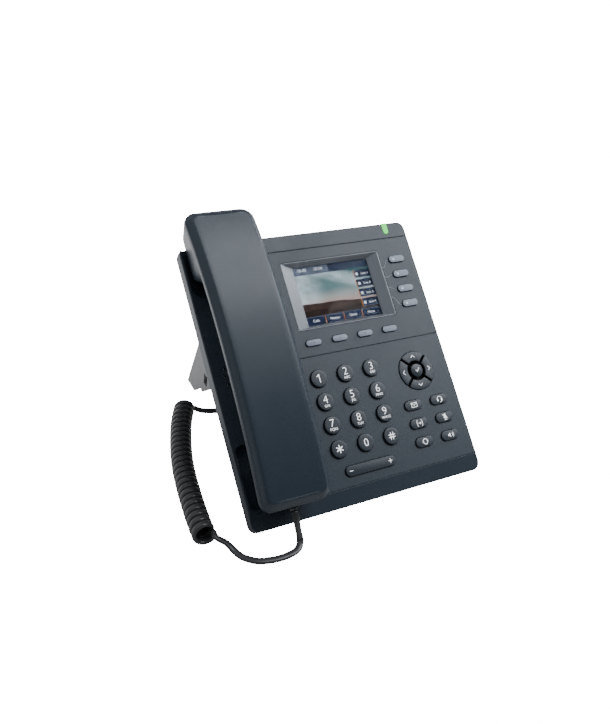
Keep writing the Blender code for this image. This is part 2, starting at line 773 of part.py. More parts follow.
def stations(shrink=0.0):
    """Places along the handset where its section is drawn."""
    ends = [handset_corner * (1 - math.cos(math.radians(angle))) for angle in (0, 22, 44, 66, 90)]
    low = handset_low + shrink
    high = handset_high - shrink
    grip_low = handset_low + mouth_block
    grip_high = handset_high - ear_block
    slopes = [block_blend * (1 - step / 4) for step in range(5)]
    grip = [grip_low + (grip_high - grip_low) * step / 6 for step in range(1, 6)]
    middle = [grip_low - d for d in slopes] + grip + [grip_high + d for d in reversed(slopes)]
    return [low + d for d in ends] + middle + [high - d for d in reversed(ends)]


def loft(name, rings, material=None):
    """A closed solid through rings of equal length, with flat ends."""
    shape = bmesh.new()
    loops = [[shape.verts.new(point) for point in ring] for ring in rings]
    for one, two in zip(loops, loops[1:]):
        for index in range(len(one)):
            after = (index + 1) % len(one)
            shape.faces.new((one[index], one[after], two[after], two[index]))
    shape.faces.new(list(reversed(loops[0])))
    shape.faces.new(loops[-1])
    bmesh.ops.recalc_face_normals(shape, faces=shape.faces)
    mesh = bpy.data.meshes.new(name)
    shape.to_mesh(mesh)
    shape.free()
    return place(name, mesh, material)


def top_section(v, shrink=0.0, low=fit / 2):
    """Section of the handset's top shell: a short wall, a chamfer and a flat crown."""
    half = half_width(v, shrink)
    end = max(0.04, min(1.0, (min(v - handset_low, handset_high - v) - shrink) / handset_chamfer))
    base = parting(v)
    top = base + handset_lip + handset_rise * end - shrink
    slope = handset_chamfer * end
    points = [(-half, base + low), (-half, base + handset_lip - shrink * 0.5), (-half + slope, top),
              (half - slope, top), (half, base + handset_lip - shrink * 0.5), (half, base + low)]
    return [(handset_mid + u, v, h) for u, h in points]


def bottom_section(v, shrink=0.0, high=-fit / 2):
    """Section of the handset's bottom shell: a short wall and sides that lean in to the underside."""
    half = half_width(v, shrink)
    base = parting(v)
    floor = underside(v) + shrink
    shoulder = base - handset_shoulder
    cut = undercut(v)
    points = [(-half, base + high), (-half, shoulder), (-half + cut, floor), (half - cut, floor),
              (half, shoulder), (half, base + high)]
    return [(handset_mid + u, v, h) for u, h in points]


handset_top = loft("handset_top_shell", [top_section(v) for v in stations()], handset_plastic)
top_hollow = loft("top_hollow", [top_section(v, handset_wall, -0.002) for v in stations(handset_wall)])
boolean(handset_top, top_hollow)
handset_bottom = loft("handset_bottom_shell", [bottom_section(v) for v in stations()], handset_plastic)
bottom_hollow = loft("bottom_hollow", [bottom_section(v, handset_wall, 0.002) for v in stations(handset_wall)])
boolean(handset_bottom, bottom_hollow)

ear_centre = (handset_mid, handset_high - 0.0225)
mic_centre = (handset_mid, handset_low + 0.0185)
sound_spots = [mic_centre, ear_centre]
sound_spots += [(ear_centre[0] + x, ear_centre[1] + y) for x, y in circle(0.0042, 6)]
sound_holes = [cylinder("sound_hole", grille_hole, -0.012, 0.004, spot, None, 8) for spot in sound_spots]
boolean(handset_bottom, joined("sound_holes", sound_holes))

receiver_floor = ear_floor + handset_wall + 0.0004
turned("receiver_capsule", [(0, receiver_floor + 0.0070), (0.0095, receiver_floor + 0.0070),
                            (0.0108, receiver_floor + 0.0045), (0.0108, receiver_floor), (0, receiver_floor)],
       ear_centre, steel)
mic_floor = mouth_floor + handset_wall + 0.0004
turned("handset_microphone", [(0, mic_floor + 0.0030), (0.0035, mic_floor + 0.0030), (0.0035, mic_floor),
                              (0, mic_floor)], mic_centre, steel, 16)

# The handset's cord socket opens in its lower end.
exit_mouth = (handset_mid, handset_low, exit_height)
plug_socket("handset", exit_mouth, (-math.pi / 2, 0, 0))
exit_hole = block("exit_hole", (handset_mid - plug_gap[0] / 2, handset_low - 0.002, exit_height - plug_gap[1] / 2),
                  (handset_mid + plug_gap[0] / 2, handset_low + 0.004, exit_height + plug_gap[1] / 2))
boolean(handset_bottom, exit_hole)

# ---- stand and feet --------------------------------------------------------------------------------------
root_low = to_desk(stand_root[0], -tub_back - fit)
root_high = to_desk(stand_root[1], -tub_back - fit)
side_points = [root_low, root_high, (stand_heel, sole_z), (stand_toe, sole_z), stand_notch, stand_spur]
half_body = body_width / 2
stand_spans = [(left - half_body, left - half_body + stand_plate) for left in stand_sides]
stand = side_profile("stand", side_points, *stand_spans[0], stand_plastic, None)
right_side = side_profile("stand_right_side", side_points, *stand_spans[1], None, None)
boolean(stand, right_side, "UNION")

rear_edge = Vector((stand_heel - root_high[0], sole_z - root_high[1]))
root_line = Vector((root_low[0] - root_high[0], root_low[1] - root_high[1])).normalized()
web_reach = root_line * (stand_web / abs(root_line.cross(rear_edge.normalized())))
web_points = [root_high, (stand_heel, sole_z), (stand_heel - stand_web, sole_z),
              (root_high[0] + web_reach.x, root_high[1] + web_reach.y)]
web = side_profile("stand_web", web_points, stand_spans[0][0] + 0.0005, stand_spans[1][1] - 0.0005, None, None)
boolean(stand, web, "UNION")
sill = side_profile("stand_sill", [(stand_heel - 0.0005, sole_z), (stand_heel - 0.0005, sole_z + 0.003),
                                   (stand_toe + 0.002, sole_z + 0.003), (stand_toe + 0.002, sole_z)],
                    stand_spans[0][0] + 0.0005, stand_spans[1][1] - 0.0005, None, None)
boolean(stand, sill, "UNION")
slot_centre, slot_size = stand_slot
stand_window = block("stand_window", (-half_body, slot_centre[0] - slot_size[0] / 2, slot_centre[1]
                                      - slot_size[1] / 2),
                     (half_body, slot_centre[0] + slot_size[0] / 2, slot_centre[1] + slot_size[1] / 2), None, None)
for left in stand_sides:
    for low in hook_places:
        stem = block("stand_stem", (left + 0.0001, low, -tub_back - 0.003),
                     (left + stand_plate - 0.0001, low + hook_stem, tub_floor + 0.0005 + 0.0020))
        lip = block("stand_lip", (left + 0.0002, low + 0.0002, tub_floor + 0.0005),
                    (left + stand_plate - 0.0002, low + hook_stem + hook_lip, tub_floor + 0.0025 + 0.0001))
        boolean(stem, lip, "UNION")
        boolean(stand, stem, "UNION")
boolean(stand, stand_window)

pad_width = stand_heel - stand_toe - 0.004
pad_centre = ((stand_heel + stand_toe) / 2, 0)
plate("stand_foot_pad", stadium(body_width - 2 * stand_left - 0.006, pad_width), 0, strip_height, rubber,
      (0, pad_centre[0]), parent=None)
plate("front_foot_strip", stadium(strip_length, strip_width), 0, strip_height, rubber, (0, 0), parent=None)

# ---- handset cord ----------------------------------------------------------------------------------------
# Route points are world places. The tails are smooth curves through them; the coil is its outer tube.
handset_tail = [(-0.0625, -0.0182, 0.0223), (-0.0625, -0.0202, 0.0204), (-0.0623, -0.0222, 0.0174),
                (-0.0619, -0.0237, 0.0136), (-0.0613, -0.0249, 0.0098), (-0.0608, -0.0261, 0.0066),
                (-0.0609, -0.0275, 0.0043), (-0.0626, -0.0301, 0.0027), (-0.0660, -0.0323, 0.0021),
                (-0.0711, -0.0335, 0.0021), (-0.0770, -0.0339, 0.0021), (-0.0834, -0.0332, 0.0021),
                (-0.0915, -0.0307, 0.0021), (-0.0977, -0.0252, 0.0021), (-0.1003, -0.0205, 0.0025),
                (-0.1020, -0.0165, 0.0036), (-0.1043, -0.0135, 0.0055), (-0.1072, -0.0118, 0.0073),
                (-0.1092, -0.0098, 0.0084), (-0.1097, -0.0070, 0.0088)]
coil_route = [(-0.1149, -0.0060, 0.0076), (-0.1143, 0.0033, 0.0076), (-0.1124, 0.0197, 0.0076),
              (-0.1096, 0.0382, 0.0076), (-0.1057, 0.0573, 0.0076), (-0.1004, 0.0755, 0.0076),
              (-0.0926, 0.0966, 0.0076), (-0.0842, 0.1138, 0.0076)]
base_tail = [(-0.0791, 0.1124, 0.0060), (-0.0778, 0.1150, 0.0050), (-0.0753, 0.1160, 0.0036),
             (-0.0722, 0.1142, 0.0025), (-0.0680, 0.1121, 0.0021), (-0.0609, 0.1097, 0.0022),
             (-0.0573, 0.1078, 0.0034), (-0.0551, 0.1050, 0.0065), (-0.0540, 0.1017, 0.0120),
             (-0.0534, 0.0985, 0.0185), (-0.0531, 0.0955, 0.0250), (-0.0530, 0.0925, 0.0315),
             (-0.0530, 0.0893, 0.0375), (-0.0530, 0.0856, 0.0426), (-0.0530, 0.0817, 0.0473)]


def smooth_route(points, steps):
    """Points on a smooth curve through the route's own points."""
    line = [Vector(point) for point in points]
    before = line[0] * 2 - line[1]
    after = line[-1] * 2 - line[-2]
    line = [before] + line + [after]
    route = []
    for a, b, c, d in zip(line, line[1:], line[2:], line[3:]):
        for step in range(steps):
            t = step / steps
            route.append(0.5 * (2 * b + (c - a) * t + (2 * a - 5 * b + 4 * c - d) * t * t
                                + (3 * b - a - 3 * c + d) * t ** 3))
    route.append(line[-2])
    return route


def tube(name, points, steps, diameter, resolution):
    """A round tube along a route, with closed ends."""
    curve = bpy.data.curves.new(name, "CURVE")
    curve.dimensions = "3D"
    curve.bevel_depth = diameter / 2
    curve.bevel_resolution = resolution
    curve.use_fill_caps = True
    spline = curve.splines.new("POLY")
    route = smooth_route(points, steps)
    spline.points.add(len(route) - 1)
    for point, where in zip(spline.points, route):
        point.co = (*where, 1)
    curve.materials.append(cord_black)
    thing = bpy.data.objects.new(name, curve)
    phone.objects.link(thing)
    return thing


tube("cord_tail_handset", handset_tail, 2, cord_diameter, 2)
tube("cord_coil", coil_route, 3, coil_diameter, 4)
tube("cord_tail_base", base_tail, 2, cord_diameter, 2)
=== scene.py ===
import math

import bmesh
import bpy
from mathutils import Matrix, Vector


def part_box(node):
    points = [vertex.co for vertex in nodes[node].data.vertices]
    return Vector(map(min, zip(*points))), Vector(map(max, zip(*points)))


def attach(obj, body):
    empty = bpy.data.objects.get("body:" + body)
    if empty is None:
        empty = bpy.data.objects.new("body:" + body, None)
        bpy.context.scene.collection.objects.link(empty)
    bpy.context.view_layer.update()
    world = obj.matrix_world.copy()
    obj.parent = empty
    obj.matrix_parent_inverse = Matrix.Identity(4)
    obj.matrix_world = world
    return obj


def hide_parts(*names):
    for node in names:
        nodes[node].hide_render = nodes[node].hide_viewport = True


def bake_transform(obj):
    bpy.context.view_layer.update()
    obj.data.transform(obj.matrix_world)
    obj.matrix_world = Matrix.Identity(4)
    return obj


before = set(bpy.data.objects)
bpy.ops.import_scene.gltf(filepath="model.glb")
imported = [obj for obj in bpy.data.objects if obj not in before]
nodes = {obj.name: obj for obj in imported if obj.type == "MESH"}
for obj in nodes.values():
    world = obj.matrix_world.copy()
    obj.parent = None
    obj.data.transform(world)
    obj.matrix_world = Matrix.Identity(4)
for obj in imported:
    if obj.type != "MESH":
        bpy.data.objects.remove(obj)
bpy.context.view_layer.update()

# ---- studio ---------------------------------------------------------------------------------------------
# The phone stands on white paper. Three soft boxes light it from its right: in front, overhead and behind.
# The camera looks down at it from above its left front corner, and sees the paper as plain white.
camera_data = bpy.data.cameras.new("camera")
camera_data.lens = 39.95
camera_data.sensor_width = 36
camera = bpy.data.objects.new("camera", camera_data)
bpy.context.scene.collection.objects.link(camera)
camera_heading = Matrix.Rotation(math.radians(-31.55), 4, "Z")
camera_pitch = Matrix.Rotation(math.radians(90 - 34.35), 4, "X")
camera_roll = Matrix.Rotation(math.radians(7.93), 4, "Z")
camera_place = Matrix.Translation((-0.2513, -0.3144, 0.3710))
camera.matrix_world = camera_place @ camera_heading @ camera_pitch @ camera_roll
bpy.context.scene.camera = camera

paper_size = 6.0
paper_drop = 0.0001             # the paper lies just below the feet
paper_glow = 0.14               # what the phone is lit by: dim in front, bright behind its left side
paper_glow_behind = 1.3
white_out = 24.0                # what the camera itself sees of the paper, past full white
floor_mesh = bpy.data.meshes.new("floor")
floor_shape = bmesh.new()
bmesh.ops.create_grid(floor_shape, x_segments=1, y_segments=1, size=paper_size)
bmesh.ops.translate(floor_shape, vec=(0, 0, -paper_drop), verts=floor_shape.verts)
floor_shape.to_mesh(floor_mesh)
floor_shape.free()
floor = bpy.data.objects.new("floor", floor_mesh)
bpy.context.scene.collection.objects.link(floor)
paper = bpy.data.materials.new("paper")
paper.use_nodes = True
paper_shader = paper.node_tree.nodes["Principled BSDF"]
paper_shader.inputs["Base Color"].default_value = (0.40, 0.40, 0.40, 1)
paper_shader.inputs["Roughness"].default_value = 0.9
paper_shader.inputs["Emission Color"].default_value = (1, 1, 1, 1)
paper_seen = paper.node_tree.nodes.new("ShaderNodeLightPath").outputs["Is Camera Ray"]
paper_level = paper.node_tree.nodes.new("ShaderNodeMapRange")
paper_place = paper.node_tree.nodes.new("ShaderNodeTexCoord").outputs["Object"]
paper_behind = paper.node_tree.nodes.new("ShaderNodeVectorMath")
paper_behind.operation = "DOT_PRODUCT"
paper_behind.inputs[1].default_value = (-0.6, 0.8, 0)
paper_sweep = paper.node_tree.nodes.new("ShaderNodeMapRange")
paper_sweep.interpolation_type = "SMOOTHSTEP"
paper_sweep.inputs["From Min"].default_value = 0.02
paper_sweep.inputs["From Max"].default_value = 0.30
paper_sweep.inputs["To Min"].default_value = paper_glow
paper_sweep.inputs["To Max"].default_value = paper_glow_behind
paper.node_tree.links.new(paper_place, paper_behind.inputs[0])
paper.node_tree.links.new(paper_behind.outputs["Value"], paper_sweep.inputs["Value"])
paper.node_tree.links.new(paper_sweep.outputs["Result"], paper_level.inputs["To Min"])
paper_level.inputs["To Max"].default_value = white_out
paper.node_tree.links.new(paper_seen, paper_level.inputs["Value"])
paper.node_tree.links.new(paper_level.outputs["Result"], paper_shader.inputs["Emission Strength"])
floor_mesh.materials.append(paper)

# The room: dim all round, brighter overhead, with a pale wall on the left and behind.
world = bpy.data.worlds.new("studio")
world.use_nodes = True
room = world.node_tree
room_direction = room.nodes.new("ShaderNodeTexCoord").outputs["Generated"]
room_parts = room.nodes.new("ShaderNodeSeparateXYZ")
room.links.new(room_direction, room_parts.inputs[0])


def room_glow(source, start, end, low, high):
    """A soft step of light between two levels of a direction."""
    step = room.nodes.new("ShaderNodeMapRange")
    step.interpolation_type = "SMOOTHSTEP"
    step.inputs["From Min"].default_value = start
    step.inputs["From Max"].default_value = end
    step.inputs["To Min"].default_value = low
    step.inputs["To Max"].default_value = high
    room.links.new(source, step.inputs["Value"])
    return step.outputs["Result"]


room_left = room.nodes.new("ShaderNodeVectorMath")
room_left.operation = "DOT_PRODUCT"
room_left.inputs[1].default_value = (-0.80, 0.55, 0.25)
room.links.new(room_direction, room_left.inputs[0])
room_sum = room.nodes.new("ShaderNodeMath")
room_sum.operation = "ADD"
room.links.new(room_glow(room_parts.outputs["Z"], 0.60, 0.95, 0.05, 0.45), room_sum.inputs[0])
room.links.new(room_glow(room_left.outputs["Value"], 0.25, 0.85, 0.0, 0.5), room_sum.inputs[1])
room.links.new(room_sum.outputs[0], room.nodes["Background"].inputs["Strength"])
room.nodes["Background"].inputs["Color"].default_value = (0.90, 0.95, 1.0, 1)
bpy.context.scene.world = world


soft_box_size = 0.50
soft_box_colour = (0.91, 0.95, 1.0)


def soft_box(name, place, aim, power):
    """A square studio light that faces a point."""
    data = bpy.data.lights.new(name, "AREA")
    data.shape = "RECTANGLE"
    data.size = soft_box_size
    data.size_y = soft_box_size
    data.energy = power
    data.color = soft_box_colour
    light = bpy.data.objects.new(name, data)
    light.location = place
    light.rotation_euler = (Vector(aim) - Vector(place)).to_track_quat("-Z", "Y").to_euler()
    bpy.context.scene.collection.objects.link(light)


soft_box("front_light", (0.79, -0.26, 0.86), (0, 0.06, 0.08), 4.5)
soft_box("top_light", (0.42, -0.02, 1.10), (0, 0.06, 0.08), 5)
soft_box("right_light", (1.10, 0.35, 0.55), (0, 0.05, 0.05), 8)

# ---- handset cord ---------------------------------------------------------------------------------------
# A flat four-wire cable with a satin black vinyl jacket, wound hot on a rod so that it springs back.
# One end clips into the handset, the other into the back of the body; the coil lies on the desk.
cord_width = 0.0046
cord_thickness = 0.0026
coil_outer = 0.0150
coil_turns = 25
coil_entry = math.radians(15)   # how far above the coil's right side its first turn begins
points_per_turn = 26
cord_sides = 14

handset_tail = [(-0.0625, -0.0182, 0.0223), (-0.0625, -0.0202, 0.0204), (-0.0623, -0.0222, 0.0174),
                (-0.0619, -0.0237, 0.0136), (-0.0613, -0.0249, 0.0098), (-0.0608, -0.0261, 0.0066),
                (-0.0609, -0.0275, 0.0043), (-0.0626, -0.0301, 0.0027), (-0.0660, -0.0323, 0.0021),
                (-0.0711, -0.0335, 0.0021), (-0.0770, -0.0339, 0.0021), (-0.0834, -0.0332, 0.0021),
                (-0.0915, -0.0307, 0.0021), (-0.0977, -0.0252, 0.0021), (-0.1003, -0.0205, 0.0025),
                (-0.1020, -0.0165, 0.0036), (-0.1043, -0.0135, 0.0055), (-0.1072, -0.0118, 0.0073),
                (-0.1092, -0.0098, 0.0084), (-0.1097, -0.0070, 0.0088)]
coil_route = [(-0.1149, -0.0060, 0.0076), (-0.1143, 0.0033, 0.0076), (-0.1124, 0.0197, 0.0076),
              (-0.1096, 0.0382, 0.0076), (-0.1057, 0.0573, 0.0076), (-0.1004, 0.0755, 0.0076),
              (-0.0926, 0.0966, 0.0076), (-0.0842, 0.1138, 0.0076)]
base_tail = [(-0.0791, 0.1124, 0.0060), (-0.0778, 0.1150, 0.0050), (-0.0753, 0.1160, 0.0036),
             (-0.0722, 0.1142, 0.0025), (-0.0680, 0.1121, 0.0021), (-0.0609, 0.1097, 0.0022),
             (-0.0573, 0.1078, 0.0034), (-0.0551, 0.1050, 0.0065), (-0.0540, 0.1017, 0.0120),
             (-0.0534, 0.0985, 0.0185), (-0.0531, 0.0955, 0.0250), (-0.0530, 0.0925, 0.0315),
             (-0.0530, 0.0893, 0.0375), (-0.0530, 0.0856, 0.0426), (-0.0530, 0.0817, 0.0473)]


def smooth_route(points, steps):
    """Points on a smooth curve through the route's own points."""
    line = [Vector(point) for point in points]
    line = [line[0] * 2 - line[1]] + line + [line[-1] * 2 - line[-2]]
    route = []
    for a, b, c, d in zip(line, line[1:], line[2:], line[3:]):
        for step in range(steps):
            t = step / steps
            route.append(0.5 * (2 * b + (c - a) * t + (2 * a - 5 * b + 4 * c - d) * t * t
                                + (3 * b - a - 3 * c + d) * t ** 3))
    route.append(line[-2])
    return route


def along(route, distance):
    """The place and the heading at a distance along a route."""
    for start, end in zip(route, route[1:]):
        step = (end - start).length
        if distance <= step:
            break
        distance -= step
    return start.lerp(end, min(1.0, distance / step)), (end - start).normalized()


def wound_coil():
    """The middle line of the coil's cable, and the coil's own heading at each of its points."""
    axis = smooth_route(coil_route, 12)
    length = sum((b - a).length for a, b in zip(axis, axis[1:]))
    radius = (coil_outer - cord_thickness) / 2
    turn = 2 * math.pi * coil_turns + 2 * coil_entry
    count = coil_turns * points_per_turn
    line = []
    headings = []
    for index in range(count + 1):
        share = index / count
        centre, heading = along(axis, length * share)
        side = heading.cross(Vector((0, 0, 1))).normalized()
        angle = coil_entry - turn * share
        line.append(centre + side * radius * math.cos(angle) + Vector((0, 0, radius * math.sin(angle))))
        headings.append(heading)
    return line, headings


def flat_cable(name, line, broad):
    """A cable with an oval section whose broad side follows the given directions, with round-edged ends."""
    shape = bmesh.new()
    loops = []
    last = None
    for index, centre in enumerate(line):
        before = line[max(0, index - 1)]
        after = line[min(len(line) - 1, index + 1)]
        run = (after - before).normalized()
        wide = (broad[index] - run * broad[index].dot(run)).normalized()
        if last and wide.dot(last) < 0:
            wide = -wide
        last = wide
        thin = run.cross(wide)
        ends = min(index, len(line) - 1 - index)
        trim = (0.72, 0.93, 1.0)[min(2, ends)]
        loop = []
        for corner in range(cord_sides):
            angle = 2 * math.pi * (corner + 0.5) / cord_sides
            x = math.copysign(abs(math.cos(angle)) ** 0.62, math.cos(angle))
            y = math.copysign(abs(math.sin(angle)) ** 0.80, math.sin(angle))
            loop.append(shape.verts.new(centre + wide * (x * cord_width / 2 * trim)
                                        + thin * (y * cord_thickness / 2 * trim)))
        loops.append(loop)
    for one, two in zip(loops, loops[1:]):
        for corner in range(cord_sides):
            after = (corner + 1) % cord_sides
            shape.faces.new((one[corner], one[after], two[after], two[corner]))
    shape.faces.new(list(reversed(loops[0])))
    shape.faces.new(loops[-1])
    bmesh.ops.recalc_face_normals(shape, faces=shape.faces)
    mesh = bpy.data.meshes.new(name)
    shape.to_mesh(mesh)
    shape.free()
    mesh.shade_smooth()
    cable = bpy.data.objects.new(name, mesh)
    bpy.context.scene.collection.objects.link(cable)
    return cable


def across(line):
    """The level direction across a line, at each of its points."""
    level = []
    for index in range(len(line)):
        run = line[min(len(line) - 1, index + 1)] - line[max(0, index - 1)]
        level.append(Vector((-run.y, run.x, 0)).normalized())
    return level


def turned_to(directions, goal, share):
    """The last directions of a list turned little by little to the goal."""
    count = int(len(directions) * share)
    for step in range(count):
        place = len(directions) - count + step
        own = directions[place] if directions[place].dot(goal) > 0 else -directions[place]
        blend = (step + 1) / count
        directions[place] = own.lerp(goal, blend * blend * (3 - 2 * blend)).normalized()
    return directions


near_tail = smooth_route(handset_tail, 4)[:-1]
far_tail = smooth_route(base_tail, 4)[1:]
coil_line, coil_headings = wound_coil()
near_broad = turned_to(across(near_tail), -coil_headings[0], 0.35)
far_broad = list(reversed(turned_to(list(reversed(across(far_tail))), -coil_headings[-1], 0.25)))
cord_line = near_tail + coil_line + far_tail
cord_broad = near_broad + [-heading for heading in coil_headings] + far_broad
cord = flat_cable("handset_cord", cord_line, cord_broad)

# The jacket's satin skin, and the helpers and node groups that every moulded material shares.


def new_group(name, inputs, outputs):
    """An empty shader node group with named sockets."""
    group = bpy.data.node_groups.new(name, "ShaderNodeTree")
    for title, kind, value in inputs:
        socket = group.interface.new_socket(title, in_out="INPUT", socket_type=kind)
        socket.default_value = value
    for title, kind in outputs:
        group.interface.new_socket(title, in_out="OUTPUT", socket_type=kind)
    return group, group.nodes.new("NodeGroupInput"), group.nodes.new("NodeGroupOutput")


def wire(tree, *pairs):
    """Join sockets in pairs."""
    for source, target in pairs:
        tree.links.new(source, target)


def sum_node(tree, operation, first, second, clamp=False):
    """A Math node over two sockets or numbers; gives its result."""
    node = tree.nodes.new("ShaderNodeMath")
    node.operation = operation
    node.use_clamp = clamp
    for socket, value in zip(node.inputs, (first, second)):
        if isinstance(value, (int, float)):
            socket.default_value = value
        else:
            tree.links.new(value, socket)
    return node.outputs[0]


def noise_node(tree, coordinates, scale, detail=2.0):
    """A Noise texture's value."""
    node = tree.nodes.new("ShaderNodeTexNoise")
    node.inputs["Detail"].default_value = detail
    tree.links.new(coordinates, node.inputs["Vector"])
    if isinstance(scale, (int, float)):
        node.inputs["Scale"].default_value = scale
    else:
        tree.links.new(scale, node.inputs["Scale"])
    return node.outputs["Fac"]


# Moulded grain: the spark-eroded texture of a tool's steel, printed into plastic or rubber, with faint
# clouding in its colour and patches that hands have rubbed smoother.
grain_group, grain_in, grain_out = new_group(
    "moulded_grain",
    [("Colour", "NodeSocketColor", (0.5, 0.5, 0.5, 1)), ("Roughness", "NodeSocketFloat", 0.5),
     ("Grain Size", "NodeSocketFloat", 2600.0), ("Clouding", "NodeSocketFloat", 0.06),
     ("Rubbing", "NodeSocketFloat", 0.08)],
    [("Colour", "NodeSocketColor"), ("Roughness", "NodeSocketFloat"), ("Height", "NodeSocketFloat")])
grain_place = grain_group.nodes.new("ShaderNodeTexCoord").outputs["Object"]
fine_grain = noise_node(grain_group, grain_place, grain_in.outputs["Grain Size"], 3.0)
cloud_noise = noise_node(grain_group, grain_place, 95.0, 3.0)
rub_noise = noise_node(grain_group, grain_place, 38.0, 4.0)
cloud_shift = sum_node(grain_group, "MULTIPLY", sum_node(grain_group, "SUBTRACT", cloud_noise, 0.5),
                       grain_in.outputs["Clouding"])
cloud_level = sum_node(grain_group, "ADD", sum_node(grain_group, "MULTIPLY", cloud_shift, 2.0), 1.0)
cloud_tint = grain_group.nodes.new("ShaderNodeVectorMath")
cloud_tint.operation = "SCALE"
rub_shift = sum_node(grain_group, "MULTIPLY", sum_node(grain_group, "SUBTRACT", rub_noise, 0.5),
                     grain_in.outputs["Rubbing"])
wire(grain_group, (grain_in.outputs["Colour"], cloud_tint.inputs[0]),
     (cloud_level, cloud_tint.inputs["Scale"]),
     (cloud_tint.outputs[0], grain_out.inputs["Colour"]), (fine_grain, grain_out.inputs["Height"]),
     (sum_node(grain_group, "ADD", grain_in.outputs["Roughness"],
               sum_node(grain_group, "MULTIPLY", rub_shift, 2.0), True), grain_out.inputs["Roughness"]))

# Edge wear and painted highlight: corners that fingers and cloths have polished, lightened further as a
# painted highlight, read from how far a rounded normal leans away.
edge_group, edge_in, edge_out = new_group(
    "edge_wear_and_highlight", [("Reach", "NodeSocketFloat", 0.0004), ("Amount", "NodeSocketFloat", 0.3)],
    [("Mask", "NodeSocketFloat"), ("Normal", "NodeSocketVector")])
edge_bevel = edge_group.nodes.new("ShaderNodeBevel")
edge_bevel.samples = 4
edge_normal = edge_group.nodes.new("ShaderNodeNewGeometry").outputs["Normal"]
edge_lean = edge_group.nodes.new("ShaderNodeVectorMath")
edge_lean.operation = "DOT_PRODUCT"
wire(edge_group, (edge_in.outputs["Reach"], edge_bevel.inputs["Radius"]),
     (edge_bevel.outputs["Normal"], edge_lean.inputs[0]), (edge_normal, edge_lean.inputs[1]),
     (edge_bevel.outputs["Normal"], edge_out.inputs["Normal"]))
lean = sum_node(edge_group, "SUBTRACT", 1.0, edge_lean.outputs["Value"])
lean_amount = sum_node(edge_group, "MULTIPLY", lean, 4.0, True)
wire(edge_group, (sum_node(edge_group, "MULTIPLY", lean_amount, edge_in.outputs["Amount"]),
                  edge_out.inputs["Mask"]))


def moulded(name, colour, roughness, grain=2600.0, depth=0.000018, clouding=0.06, rubbing=0.05, wear_and_highlight=0.25,
            reach=0.0004, metallic=0.0, specular=0.5, coat=0.0, worn_and_lit=1.9):
    """A moulded material: grain, clouding, rubbed patches and edges lightened for wear and as a painted
    highlight.
    """
    material = bpy.data.materials.new(name)
    material.use_nodes = True
    tree = material.node_tree
    shader = tree.nodes["Principled BSDF"]
    grains = tree.nodes.new("ShaderNodeGroup")
    grains.node_tree = grain_group
    grains.inputs["Colour"].default_value = (*colour, 1)
    grains.inputs["Roughness"].default_value = roughness
    grains.inputs["Grain Size"].default_value = grain
    grains.inputs["Clouding"].default_value = clouding
    grains.inputs["Rubbing"].default_value = rubbing
    bump = tree.nodes.new("ShaderNodeBump")
    bump.inputs["Distance"].default_value = depth
    bump.inputs["Strength"].default_value = 1.0
    shader.inputs["Metallic"].default_value = metallic
    shader.inputs["Specular IOR Level"].default_value = specular
    shader.inputs["Coat Weight"].default_value = coat
    wire(tree, (grains.outputs["Height"], bump.inputs["Height"]),
         (bump.outputs["Normal"], shader.inputs["Normal"]),
         (grains.outputs["Roughness"], shader.inputs["Roughness"]))
    if not wear_and_highlight:
        wire(tree, (grains.outputs["Colour"], shader.inputs["Base Color"]))
        return material
    edges = tree.nodes.new("ShaderNodeGroup")
    edges.node_tree = edge_group
    edges.inputs["Reach"].default_value = reach
    edges.inputs["Amount"].default_value = wear_and_highlight
    # Worn edges and painted highlight: the edge mask mixes in a lighter copy of the colour.
    mix = tree.nodes.new("ShaderNodeMix")
    mix.data_type = "RGBA"
    mix.inputs["B"].default_value = (*[min(1.0, c * worn_and_lit) for c in colour], 1)
    wire(tree, (edges.outputs["Mask"], mix.inputs["Factor"]), (grains.outputs["Colour"], mix.inputs["A"]),
         (mix.outputs["Result"], shader.inputs["Base Color"]),
         (edges.outputs["Normal"], bump.inputs["Normal"]))
    return material


cord_vinyl = moulded("cord_vinyl", (0.046, 0.046, 0.048), 0.29, 1800, 0.00001, 0.10, 0.10, 0)
cord.data.materials.append(cord_vinyl)
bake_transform(cord)
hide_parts("cord_tail_handset", "cord_coil", "cord_tail_base")

# ---- body shell -----------------------------------------------------------------------------------------
# The upper shell is one ABS moulding in slate grey-blue, with a fine eroded texture all over.
# The frame's own shape is kept: recesses for the handset, key openings, grooves and the lower lip.
slate_colour = (0.027, 0.040, 0.056)
slate_plastic = moulded("slate_plastic", slate_colour, 0.42, 2400, 0.000022, 0.05, 0.07, 0.30, 0.0005)


def finish_node(material, *names):
    """Give CAD nodes a material."""
    for name in names:
        mesh = nodes[name].data
        mesh.materials.clear()
        mesh.materials.append(material)


finish_node(slate_plastic, "front_shell")

# ---- rear cover -----------------------------------------------------------------------------------------
# The cover is a deep black ABS tray screwed up into the shell from behind, with a pocket for the plugs.
# Its screws sit in low raised rings, and a row of vent slots, drawn as flat bars of painted shade, lets the
# board's heat out near the top.
cover_plastic = moulded("cover_plastic", (0.022, 0.024, 0.028), 0.50, 1900, 0.00004, 0.06, 0.06, 0.35, 0.0005)
finish_node(cover_plastic, "rear_cover")

face_tilt = math.radians(40)
rim_depth = 0.0089
sole_height = 0.0013            # top of the rubber feet, with the seam above them
front_foot_reach = 0.016
body_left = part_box("front_shell")[0][0]
body_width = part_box("front_shell")[1][0] - body_left
face_foot = (body_left, -front_foot_reach, sole_height + rim_depth * math.cos(face_tilt))
face_place = Matrix.Translation(face_foot) @ Matrix.Rotation(face_tilt, 4, "X")
tub_back = -0.031               # height of the cover's back in the face's own frame


def face_box(name):
    """A CAD node's lowest and highest corners in the face's own frame."""
    back = face_place.inverted()
    corners = [back @ vert.co for vert in nodes[name].data.vertices]
    return (Vector([min(c[i] for c in corners) for i in range(3)]),
            Vector([max(c[i] for c in corners) for i in range(3)]))


